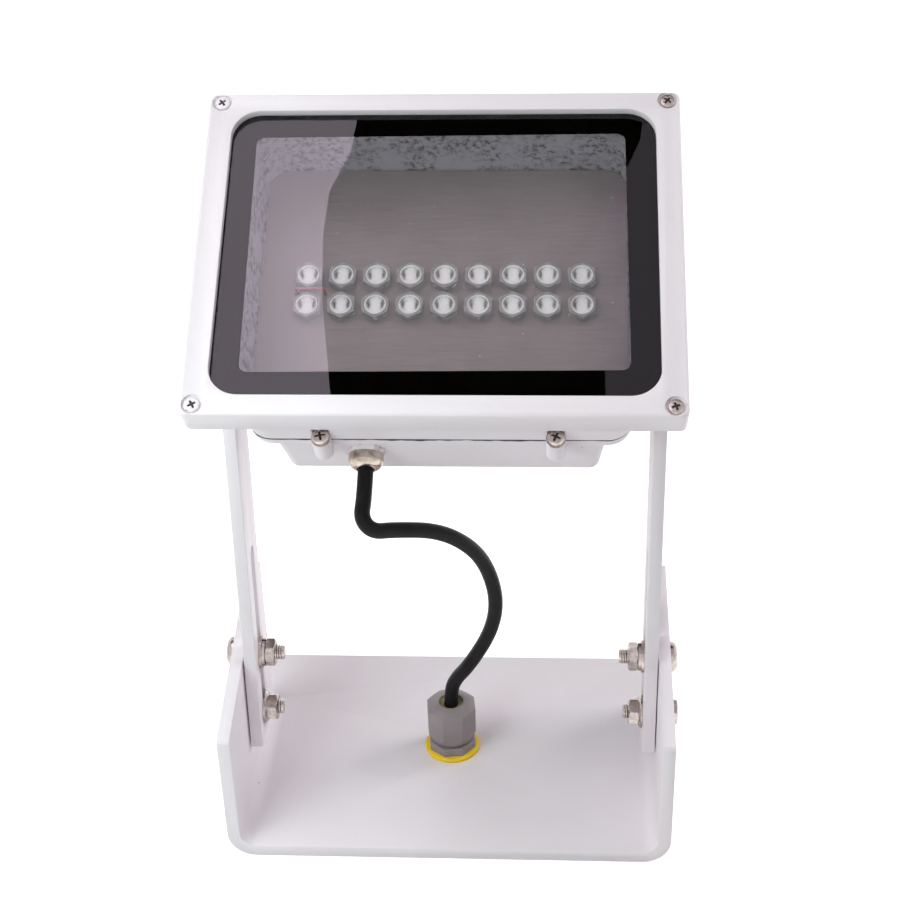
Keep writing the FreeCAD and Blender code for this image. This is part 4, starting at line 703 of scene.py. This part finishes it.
def rounded_loop(half, corner, steps=10):
    """Points round a rectangle with round corners, anticlockwise."""
    loop = []
    for quarter, (side_x, side_y) in enumerate(((1, 1), (-1, 1), (-1, -1), (1, -1))):
        for step in range(steps + 1):
            angle = math.pi / 2 * (quarter + step / steps)
            loop.append((side_x * (half[0] - corner) + corner * math.cos(angle),
                         side_y * (half[1] - corner) + corner * math.sin(angle)))
    return loop


outer_loop = rounded_loop(PANE_HALF, PANE_CORNER)
inner_loop = []
for x, y in rounded_loop(WINDOW_HALF, WINDOW_CORNER):
    inner_loop.append((WINDOW_PLACE[0] + x * math.cos(WINDOW_TURN) - y * math.sin(WINDOW_TURN),
                       WINDOW_PLACE[1] + x * math.sin(WINDOW_TURN) + y * math.cos(WINDOW_TURN)))
loops = [(outer_loop, INK_FRONT), (inner_loop, INK_FRONT), (inner_loop, INK_BACK), (outer_loop, INK_BACK)]
ink_points = [on_face(x, y, depth) for loop, depth in loops for x, y in loop]
ink_faces = ring_faces(len(loops), len(outer_loop), closed=True)
ink = mesh_piece("ink_sheet", ink_points, ink_faces, "border_ink", smooth=False)
clean(ink.data)
stand_in(ink, "head", "glass_border_print")
print("ink sheet:", len(ink_faces), "faces")

# %% [markdown]
# ## The gasket's squeezed edge
# The rear gasket is squeezed between the casting and the cover, and its edge stands out as a
# thin dark line of uneven width. A flat ring just outside the CAD gasket, with its outline
# pushed in and out by a few waves, gives that line.

# %% Squeezed edge
GASKET_HALF = (90.1, 73.6)
GASKET_CORNER = 12.0
GASKET_FRONT = -49.55
GASKET_BACK = -50.95
GASKET_INSET = 3.0
EDGE_STEP = 2.0
BULGE = 0.42
LEAST_BULGE = 0.05
BULGE_WAVES = ((0.16, 0.11, 0.0), (0.12, 0.37, 1.3), (0.10, 0.83, 2.1))

corners = rounded_loop(GASKET_HALF, GASKET_CORNER)
edge_loop = []
for first, second in zip(corners, corners[1:] + corners[:1]):
    count = max(1, round(math.dist(first, second) / EDGE_STEP))
    edge_loop += [tuple(a + (b - a) * step / count for a, b in zip(first, second)) for step in range(count)]
bead_points = []
for x, y in edge_loop:
    along = math.atan2(y, x) * GASKET_HALF[0]
    swell = BULGE + sum(size * math.sin(rate * along + phase) for size, rate, phase in BULGE_WAVES)
    reach = math.hypot(x, y)
    inward = 1 - GASKET_INSET / reach
    outward = 1 + max(LEAST_BULGE, swell) / reach
    section = ((inward, GASKET_FRONT), (outward, GASKET_FRONT),
               (outward, GASKET_BACK), (inward, GASKET_BACK))
    bead_points += [on_face(x * share, y * share, depth) for share, depth in section]
bead_faces = ring_faces(len(edge_loop), len(section), closed=True)
bead = mesh_piece("gasket_edge", bead_points, bead_faces, "black_rubber", smooth=False)
clean(bead.data)
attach(bead, "head")
print("gasket edge:", len(bead_faces), "faces")

# %% [markdown]
# ## Building what repeats
# Eighteen lenses, four bezel screws, four cover screws and four threaded ends are each one
# shape set out many times. Geometry Nodes do that. A tree takes one shape, a few points and
# a turn for each point, sets a copy on every point and puts the lot in place. The result is
# then read back as a plain mesh, so no modifier is left on it.

# %% Geometry Nodes helpers
HEAD_PLACE = tuple(on_face(0, 0, 0))
HEAD_TURN = (FACE_TILT, 0.0, 0.0)


def start_tree(name, **inputs):
    """A geometry tree with these named inputs, and its two end nodes."""
    tree = bpy.data.node_groups.new(name, "GeometryNodeTree")
    for label, kind in {"Geometry": "Geometry", "Finish": "Material", **inputs}.items():
        tree.interface.new_socket(label, in_out="INPUT", socket_type="NodeSocket" + kind)
    tree.interface.new_socket("Geometry", in_out="OUTPUT", socket_type="NodeSocketGeometry")
    return tree, tree.nodes.new("NodeGroupInput").outputs, tree.nodes.new("NodeGroupOutput")


def finish_tree(tree, geometry, given, result):
    """Copies made real, given their finish, and sent out."""
    real = add(tree, "GeometryNodeRealizeInstances", Geometry=geometry)
    painted = add(tree, "GeometryNodeSetMaterial", Geometry=real.outputs["Geometry"],
                  Material=given["Finish"])
    feed(tree, result, Geometry=painted.outputs["Geometry"])


def grow(name, seed, tree, finish, **values):
    """The plain mesh that a tree makes from a seed mesh and these named values."""
    holder = new_object(name, seed)
    modifier = holder.modifiers.new(name, "NODES")
    modifier.node_group = tree
    values["Finish"] = SURFACE[finish]
    for item in tree.interface.items_tree:
        if item.in_out == "INPUT" and item.name in values:
            modifier[item.identifier] = values[item.name]
    read_back(holder, modifier)
    wear(holder, finish)
    print(name, len(holder.data.polygons), "faces")
    return holder


set_out, given, result = start_tree("set_out_copies", Shape="Object", Place="Vector", Turn="Vector")
shape = add(set_out, "GeometryNodeObjectInfo", Object=given["Shape"])
turns = add(set_out, "GeometryNodeInputNamedAttribute", data_type="FLOAT_VECTOR", Name="turn")
copies = add(set_out, "GeometryNodeInstanceOnPoints", Points=given["Geometry"],
             Instance=shape.outputs["Geometry"], Rotation=turns.outputs["Attribute"])
settle = add(set_out, "GeometryNodeTransform", Geometry=copies.outputs["Instances"],
             Translation=given["Place"], Rotation=given["Turn"])
finish_tree(set_out, settle.outputs["Geometry"], given, result)
print("set out copies:", len(set_out.nodes), "nodes")


def set_out_copies(name, shape_mesh, places, spins, finish, frame_place=HEAD_PLACE, frame_turn=HEAD_TURN):
    """Copies of a mesh at places, each with its own turn, in a frame of their own."""
    pattern = new_object(name + "_shape", shape_mesh)
    points = bpy.data.meshes.new(name)
    points.from_pydata(places, [], [])
    attribute = points.attributes.new("turn", "FLOAT_VECTOR", "POINT")
    for item, turn in zip(attribute.data, spins):
        item.vector = turn
    piece = grow(name, points, set_out, finish, Shape=pattern, Place=frame_place, Turn=frame_turn)
    bpy.data.objects.remove(pattern)
    return piece

# %% [markdown]
# ## The lenses
# Each LED sits under a six-sided lens of milky clear plastic with a round cup in its front.
# Lenses, screws, nuts and bolts are all made in one way, by joining rings of points along an
# axis. The cup's wall shows a painted reflection of the room: bright in the middle and along
# its lower edge, dark where it would mirror the lamp's own walls. A number stored on every
# point of the cup says how bright that painted reflection is, and its material reads that.

# %% Shapes from rings
TINY = 1e-4


def flat_rings(*profile):
    """Round, level rings from pairs of a radius and a height."""
    return [lambda angle, pair=pair: pair for pair in profile]


def hex_ring(flats, height, slope=0.0):
    """A six-sided ring whose corners drop back, by slope times what they overhang."""
    def ring(angle):
        sector = (angle + math.pi / 6) % (math.pi / 3) - math.pi / 6
        reach = flats / 2 / math.cos(sector)
        return reach, height - slope * (reach - flats / 2)
    return ring


def ring_points(rings, steps):
    """Points round each ring, which is a function from an angle to a radius and a height."""
    points = []
    for ring in rings:
        for step in range(steps):
            angle = 2 * math.pi * step / steps
            radius, height = ring(angle)
            points.append((radius * math.cos(angle), radius * math.sin(angle), height))
    return points


def rings_mesh(name, rings, steps, crease, closed=False):
    """A mesh through rings in millimetres, with edges sharp where they turn more than crease."""
    mesh = bpy.data.meshes.new(name)
    points = [Vector(point) * MM for point in ring_points(rings, steps)]
    mesh.from_pydata(points, [], ring_faces(len(rings), steps, closed))
    clean(mesh, merge=MERGE)
    mesh.shade_smooth()
    mesh.set_sharp_from_angle(angle=math.radians(crease))
    return mesh


def store(mesh, name, values):
    """One number for each of the mesh's points."""
    mesh.attributes.new(name, "FLOAT", "POINT").data.foreach_set("value", values)


print("a six-sided ring 13 across reaches", round(hex_ring(13.0, 0.0)(math.pi / 6)[0], 2))

# %% Lens shapes
LENS_FLATS = 13.2
LENS_HEIGHT = 4.4
CUP_MOUTH = 5.35
CUP_INSET = 0.05
CUP_RINGS = 16
LENS_STEPS = 48
CUP_STEPS = 64
LENS_CREASE = 35.0


def bell(value, middle, width):
    """1 at the middle, falling away smoothly on both sides over a width."""
    return math.exp(-((value - middle) / width) ** 2)


def painted_cup_reflection(x, y):
    """How bright the cup's painted reflection is at a point, from its middle out to 1 at its rim."""
    reach = math.hypot(x, y)
    # Painted reflection: dark crescents at both sides, a bright rim, a dark line inside the upper rim and a
    # bright lower crescent.
    side_dark_reflection = bell(abs(x), 0.62, 0.14) * bell(y, 0.12, 0.40)
    rim = bell(reach, 0.95, 0.045)
    inner_line = bell(reach, 0.84, 0.04) if y > 0.1 else 0.0
    low_crescent = bell(reach, 0.80, 0.14) if y < 0.1 else 0.0
    tone = 0.62 + 0.26 * bell(x, 0.0, 0.42) + 0.5 * rim + 0.45 * low_crescent * max(0.0, 0.25 - y)
    return tone - 0.78 * side_dark_reflection - 0.32 * inner_line


lens_rings = flat_rings((TINY, 0.0)) + [
    hex_ring(LENS_FLATS, 0.0), hex_ring(LENS_FLATS, LENS_HEIGHT - 0.6),
    hex_ring(LENS_FLATS * 0.975, LENS_HEIGHT - 0.12), hex_ring(LENS_FLATS * 0.945, LENS_HEIGHT),
] + flat_rings((CUP_MOUTH + 0.15, LENS_HEIGHT), (CUP_MOUTH, LENS_HEIGHT - 0.1), (4.7, 3.3),
               (3.6, 2.4), (2.4, 2.0), (TINY, 1.9))
lens_mesh = rings_mesh("lens", lens_rings, LENS_STEPS, LENS_CREASE)
shares = [ring / CUP_RINGS for ring in range(CUP_RINGS + 1)]
cup_profile = [(max(CUP_MOUTH * share - CUP_INSET, TINY), 2.0 + 2.25 * share ** 3) for share in shares]
cup_mesh = rings_mesh("cup", flat_rings(*cup_profile), CUP_STEPS, LENS_CREASE)
mouth = CUP_MOUTH * MM
# Each point of the cup stores how bright its painted reflection is.
store(cup_mesh, "painted_reflection", [painted_cup_reflection(point.co.x / mouth, point.co.y / mouth) for point in cup_mesh.vertices])
print("lens:", len(lens_mesh.polygons), "faces, cup:", len(cup_mesh.polygons), "faces")

# %% Lenses set out in two rows
COLUMNS = 9
ROWS = 2
PITCH_ACROSS = 16.42 * MM
PITCH_UP = 16.3 * MM
ROWS_MIDDLE = (0.7 * MM, 0.3 * MM)
LENS_DEPTH = -44.95 * MM
LENS_TWIST = 0.05
lens_places = [
    (ROWS_MIDDLE[0] + (column - (COLUMNS - 1) / 2) * PITCH_ACROSS,
     ROWS_MIDDLE[1] + (row - (ROWS - 1) / 2) * PITCH_UP, LENS_DEPTH)
    for column in range(COLUMNS) for row in range(ROWS)
]
slight_turns = np.random.default_rng(7).uniform(-LENS_TWIST, LENS_TWIST, len(lens_places))
lens_turns = [(0.0, 0.0, float(turn)) for turn in slight_turns]
lenses = set_out_copies("clear_lenses", lens_mesh, lens_places, lens_turns, "lens_plastic")
stand_in(lenses, "head", "led_lenses")
cups = set_out_copies("lens_cups", cup_mesh, lens_places, lens_turns, "lens_cup_painted_reflection")
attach(cups, "head")

# %% [markdown]
# ## Screws with a cross
# The bezel and the rear cover are held by pan-head screws. What gives them away in the
# photograph is the dark cross in each head, so the head is a fine disc whose height drops
# where the driver's blades go in, and the cross is painted dark as the shade inside it. Each
# screw was stopped at its own angle.

# %% Screw heads
HEAD_RINGS = 22
HEAD_STEPS = 72
DOME_DROP = 0.35
RIM_STARTS = 0.9
RIM_HEIGHT = 0.72
RIM_SLOPE = 3.5


def share_left(size, place, fade):
    """1 well inside a size, falling to 0 at its edge over a share of it."""
    return max(0.0, min(1.0, (size - place) / (size * fade)))


def cross_head(name, radius, height, blade, slot_length, depth, shank_radius, shank_length):
    """A pan head with a cross cut in it, on a plain shank, from sizes in millimetres."""
    vertices = []
    cuts = []
    for ring in range(HEAD_RINGS + 1):
        share = ring / HEAD_RINGS
        reach = max(radius * share, TINY)
        dome = height * (1 - DOME_DROP * share ** 2)
        if share >= RIM_STARTS:
            dome = height * (RIM_HEIGHT - RIM_SLOPE * (share - RIM_STARTS))
        for step in range(HEAD_STEPS):
            angle = 2 * math.pi * step / HEAD_STEPS
            x = reach * math.cos(angle)
            y = reach * math.sin(angle)
            across = share_left(blade, min(abs(x), abs(y)), 0.5)
            along = share_left(slot_length, max(abs(x), abs(y)), 0.4)
            cuts.append(across * along)
            vertices.append((x, y, dome - depth * min(1.0, across * along * 1.4)))
    shank = flat_rings((radius, 0.0), (shank_radius, 0.0), (shank_radius, -shank_length),
                       (TINY, -shank_length))
    vertices += ring_points(shank, HEAD_STEPS)
    cuts += [0.0] * (len(vertices) - len(cuts))
    mesh = bpy.data.meshes.new(name)
    faces = ring_faces(HEAD_RINGS + 1 + len(shank), HEAD_STEPS)
    mesh.from_pydata([Vector(vertex) * MM for vertex in vertices], [], faces)
    store(mesh, "cut", cuts)
    clean(mesh, merge=MERGE)
    mesh.shade_smooth()
    return mesh


for name, source, finish, half_x, half_y, depth, turns, sizes in (
    ("cross_bezel_screws", "bezel_screws", "bezel_screw_metal", 106.2, 80.6, -1.3,
     (28, 38, 18, 52), (3.7, 1.7, 0.62, 2.2, 1.2, 1.75, 14.0)),
    ("cross_cover_screws", "cover_screws", "cover_screw_metal", 54.3, 77.0, -41.5,
     (12, 40, 65, 25), (4.0, 2.8, 0.6, 2.6, 1.5, 2.0, 14.0)),
):
    places = [(side * half_x * MM, top * half_y * MM, depth * MM) for side in (-1, 1) for top in (-1, 1)]
    spins = [(0.0, 0.0, math.radians(turn)) for turn in turns]
    screws = set_out_copies(name, cross_head(source, *sizes), places, spins, finish)
    stand_in(screws, "head", source)

# %% [markdown]
# ## Nuts with chamfers and bolts with threads
# A real nut is turned before it is cut, so its corners fall away in curves, and a real bolt
# ends in a thread. The nut's rings follow its six sides and drop at the corners, and the
# thread's rings wind up as they go round. Each shape points inwards from the outside of the
# ear and is set out once on each side.

# %% Nut and bolt shapes
RING_STEPS = 48
THREAD_PITCH = 1.25
THREAD_STEP = THREAD_PITCH / 8
THREAD_DEPTH = 0.42
BOLT_RADIUS = 3.9
BORE = 4.05
NUT_FLATS = 13.0
FACE_RADIUS = NUT_FLATS / 2 * 0.97
CHAMFER = 0.62
METAL_CREASE = 32.0


def thread_ring(height):
    """One ring of a thread that winds round the bolt."""
    def ring(angle):
        wave = abs(((height / THREAD_PITCH - angle / (2 * math.pi)) % 1.0) - 0.5) * 2
        return BOLT_RADIUS - THREAD_DEPTH * wave, height
    return ring


def rod(thread_start, end):
    """Rings of a plain shank, then a thread, then a small chamfer."""
    count = int((end - 0.5 - thread_start) / THREAD_STEP)
    thread = [thread_ring(thread_start + index * THREAD_STEP) for index in range(1, count + 1)]
    shank = flat_rings((TINY, 0.0), (BOLT_RADIUS, 0.0), (BOLT_RADIUS, thread_start))
    return shank + thread + flat_rings((BOLT_RADIUS - 0.75, end), (TINY, end))


def bolt(name, head, shaft):
    """A bolt's head and its rod as one mesh."""
    sheet = bmesh.new()
    for rings in (head, shaft):
        sheet.from_mesh(rings_mesh(name, rings, RING_STEPS, METAL_CREASE))
    whole = bpy.data.meshes.new(name)
    sheet.to_mesh(whole)
    sheet.free()
    whole.shade_smooth()
    whole.set_sharp_from_angle(angle=math.radians(METAL_CREASE))
    return whole


def nut(name, low_side, low, high):
    """A nut from the rings of its low side, chamfered at both ends of its flats, and its bore."""
    flats = [hex_ring(NUT_FLATS, low + 0.15, -CHAMFER), hex_ring(NUT_FLATS, high - 0.15, CHAMFER)]
    top = flat_rings((FACE_RADIUS, high), (BORE + 0.5, high), (BORE, high - 0.4))
    return rings_mesh(name, flat_rings(*low_side) + flats + top, RING_STEPS, METAL_CREASE, closed=True)


cup_head = flat_rings((TINY, -3.9), (4.6, -3.9), (5.8, -3.72), (6.9, -3.2), (7.7, -2.3),
                      (8.12, -1.2), (8.2, 0.0), (TINY, 0.0))
hex_head = flat_rings((TINY, -5.3), (NUT_FLATS / 2 * 0.95, -5.3)) + [
    hex_ring(NUT_FLATS, -5.1, -CHAMFER), hex_ring(NUT_FLATS, 0.0)] + flat_rings((TINY, 0.0))
upper_bolt = bolt("upper_bolt", cup_head, rod(16.6, 26.6))
lower_bolt = bolt("lower_bolt", hex_head, rod(15.0, 23.7))
upper_nut = nut("upper_nut", [(BORE, 16.6), (FACE_RADIUS, 16.6)], 16.6, 21.8)
flange = [(BORE, 13.4), (8.8, 13.4), (8.95, 13.6), (8.95, 14.3), (8.3, 14.9)]
flange_nut = nut("flange_nut", flange, 15.3, 20.8)
print("nut:", len(upper_nut.polygons), "faces, bolt:", len(upper_bolt.polygons), "faces")

# %% Nuts and bolts on both ears
EAR_OUTSIDE = 115.0 * MM
BOLTS_APART = 35.0 * MM
LOWER_BOLT = (0.0, -0.0189, 0.0486)
ARM_TURN = (math.radians(-4.0), 0.0, 0.0)
for name, shape_mesh, height, spin, source in (
    ("threaded_upper_bolts", upper_bolt, BOLTS_APART, 0.0, "upper_ear_bolts"),
    ("threaded_lower_bolts", lower_bolt, 0.0, 30.0, "lower_ear_bolts"),
    ("chamfered_upper_nuts", upper_nut, BOLTS_APART, 12.0, "upper_ear_nuts"),
    ("chamfered_flange_nuts", flange_nut, 0.0, 30.0, "lower_flange_nuts"),
):
    places = [(side * EAR_OUTSIDE, 0.0, height) for side in (-1, 1)]
    own_spin = Matrix.Rotation(math.radians(spin), 3, "Z")
    spins = [(Matrix.Rotation(-side * math.pi / 2, 3, "Y") @ own_spin).to_euler() for side in (-1, 1)]
    piece = set_out_copies(name, shape_mesh, places, spins, "zinc", LOWER_BOLT, ARM_TURN)
    stand_in(piece, "base", source)

# %% [markdown]
# ## Dust on the glass
# The photograph shows a handful of white specks on the pane. Geometry Nodes scatter a few
# over its front with a fixed seed, each a flat grain about half a millimetre across or less.

# %% Dust
GRAIN_RADIUS = 0.26
GRAIN_STEPS = 8
GRAIN_SCALES = (0.35, 1.0)
GRAINS_PER_SQUARE_METRE = 2600.0
DUSTY_X = 84.0
DUSTY_Y = 56.0
PANE_FRONT = -3.99
CORNERS = ((-1, -1), (1, -1), (1, 1), (-1, 1))

scatter, given, result = start_tree("scatter_grains", Grain="Object", Density="Float", Seed="Int")
spread_points = add(scatter, "GeometryNodeDistributePointsOnFaces", Mesh=given["Geometry"],
                    Density=given["Density"], Seed=given["Seed"])
grain_shape = add(scatter, "GeometryNodeObjectInfo", Object=given["Grain"])
grain_size = add(scatter, "FunctionNodeRandomValue", data_type="FLOAT")
grain_size.inputs[2].default_value, grain_size.inputs[3].default_value = GRAIN_SCALES
grains = add(scatter, "GeometryNodeInstanceOnPoints", Points=spread_points.outputs["Points"],
             Rotation=spread_points.outputs["Rotation"], Instance=grain_shape.outputs["Geometry"],
             Scale=grain_size.outputs[1])
finish_tree(scatter, grains.outputs["Instances"], given, result)

grain_rings = flat_rings((TINY, 0.0), (GRAIN_RADIUS, 0.0), (GRAIN_RADIUS * 0.7, 0.09), (TINY, 0.11))
grain = new_object("grain", rings_mesh("grain", grain_rings, GRAIN_STEPS, LENS_CREASE))
dusty_corners = [on_face(x * DUSTY_X, y * DUSTY_Y, PANE_FRONT) for x, y in CORNERS]
pane_front = bpy.data.meshes.new("pane_front")
pane_front.from_pydata(dusty_corners, [], [(0, 1, 2, 3)])
dust = grow("dust_on_glass", pane_front, scatter, "dust", Grain=grain,
            Density=GRAINS_PER_SQUARE_METRE, Seed=11)
bpy.data.objects.remove(grain)
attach(dust, "head")

# %% [markdown]
# ## The room
# The lamp stands on a plain pale floor in soft light. For the camera, reflections and rays
# through glass the floor adds a little white of its own, so it reads as the white ground of a
# product photograph and still takes the object's shadow. The same rays see a white world, a
# touch brighter through glass, and the object itself gets a softer light from it.

# %% Floor and world
FLOOR_HALF = 3.0
FLOOR_GAP = 0.3 * MM
FLOOR_GREY = (0.78, 0.78, 0.78)
FLOOR_GLOW = 0.72
WORLD_LIGHT = 0.28
WORLD_SEEN = 1.0
WORLD_THROUGH_GLASS = 0.32
WHITE = (1.0, 1.0, 1.0)


def flat_sheet(name, corners, height):
    """A level sheet with these corners."""
    mesh = bpy.data.meshes.new(name)
    mesh.from_pydata([(x, y, height) for x, y in corners], [], [tuple(range(len(corners)))])
    sheet = new_object(name, mesh)
    return sheet


def seen_or_not(tree, unseen, seen, end):
    """One shader for rays that the camera sees, straight on or by glass, and one for the rest."""
    rays = add(tree, "ShaderNodeLightPath").outputs
    bounced = work(tree, "MAXIMUM", rays["Is Glossy Ray"], rays["Is Transmission Ray"])
    pick = add(tree, "ShaderNodeMixShader", Fac=work(tree, "MAXIMUM", rays["Is Camera Ray"], bounced))
    fill(tree, pick.inputs[1], unseen)
    fill(tree, pick.inputs[2], seen)
    feed(tree, tree.nodes[end], Surface=pick.outputs["Shader"])
    return rays


floor = flat_sheet("floor", [(x * FLOOR_HALF, y * FLOOR_HALF) for x, y in CORNERS], 0.0)
floor.location.z = -FLOOR_GAP
tree, principled, place = start_material("pale_floor", Base_Color=FLOOR_GREY, Roughness=0.9,
                                         Specular_IOR_Level=0.0)
glow = add(tree, "ShaderNodeEmission", Strength=FLOOR_GLOW)
both = add(tree, "ShaderNodeAddShader")
fill(tree, both.inputs[0], principled.outputs["BSDF"])
fill(tree, both.inputs[1], glow.outputs["Emission"])
seen_or_not(tree, principled.outputs["BSDF"], both.outputs["Shader"], "Material Output")
wear(floor, "pale_floor")

world = bpy.data.worlds.new("studio")
bpy.context.scene.world = world
world.use_nodes = True
tree = world.node_tree
soft = tree.nodes["Background"]
feed(tree, soft, Color=WHITE, Strength=WORLD_LIGHT)
plain = add(tree, "ShaderNodeBackground", Color=WHITE)
rays = seen_or_not(tree, soft.outputs["Background"], plain.outputs["Background"], "World Output")
through_glass = work(tree, "MULTIPLY", rays["Is Transmission Ray"], WORLD_THROUGH_GLASS)
feed(tree, plain, Strength=work(tree, "ADD", through_glass, WORLD_SEEN))
print("floor and world ready")

# %% [markdown]
# ## The lamps
# Five soft lamps light the object, and their powers were fitted by rendering each one alone
# and comparing grey levels with the photograph. The one behind on the right is strongest, so
# the back cover and the right arm don't sink into shade. The glass faces the ceiling, so it
# mirrors what hangs there: a bright panel to the left, a weaker one to the right, and a dark
# gap between them, whose edges cross the glass in the photograph.

# %% Lamps
TARGET = Vector((0.0, 0.0, 0.2))
CEILING = 1.4
GAP_HEIGHT = 1.41
PANEL_TINT = (1.0, 0.88, 1.02)


def soft_lamp(name, place, size, power, colour=WHITE):
    """A soft lamp that faces the object and stays out of reflections."""
    data = bpy.data.lights.new(name, "AREA")
    data.color = colour
    data.shape = "RECTANGLE"
    data.size, data.size_y = size
    data.energy = power
    lamp = new_object(name, data)
    lamp.location = place
    lamp.rotation_euler = (TARGET - Vector(place)).to_track_quat("-Z", "Y").to_euler()
    lamp.visible_glossy = False
    lamp.visible_transmission = False


def ceiling_panel(name, corners, height, strength):
    """A panel overhead that only reflections and rays through glass see."""
    panel = flat_sheet(name, corners, height)
    panel.visible_camera = False
    panel.visible_shadow = False
    panel.visible_diffuse = False
    tree = start_material(name)[0]
    glow = add(tree, "ShaderNodeEmission", Strength=strength, Color=PANEL_TINT)
    feed(tree, tree.nodes["Material Output"], Surface=glow.outputs["Emission"])
    wear(panel, name)
    return panel


soft_lamp("key_left", (-1.0, -0.4, 1.2), (0.8, 0.8), 5.3)
soft_lamp("near_left", (-0.32, -0.42, 0.42), (0.25, 0.25), 1.4, (0.84, 1.0, 0.95))
soft_lamp("top", (-0.2, -0.3, 1.8), (1.0, 1.0), 6.2)
soft_lamp("front", (0.1, -1.6, 0.5), (1.0, 0.6), 1.0, (1.0, 0.9, 0.96))
soft_lamp("right_back", (1.0, 0.4, 0.6), (0.6, 0.6), 8.6)

bright_corners = [(-0.152, 0.09), (-0.166, 0.03), (-0.190, -0.012), (-0.198, -0.06), (-0.200, -0.13),
                  (-0.191, -0.26), (-0.185, -0.7), (-0.9, -0.7), (-0.9, 0.3), (-0.13, 0.3)]
dim_corners = [(0.18, 0.3), (0.147, 0.041), (0.132, 0.009), (0.105, -0.05), (0.106, -0.131),
               (0.112, -0.208), (0.13, -0.7), (0.9, -0.7), (0.9, 0.3)]
ceiling_panel("bright_panel", bright_corners, CEILING, 2.6)
ceiling_panel("dim_panel", dim_corners, CEILING, 0.7)
dark = ceiling_panel("dark_gap", [(-1.2, -0.75), (1.2, -0.75), (1.2, 1.2), (-1.2, 1.2)], GAP_HEIGHT, 0.0)
dark.visible_transmission = False
print("lamps ready")
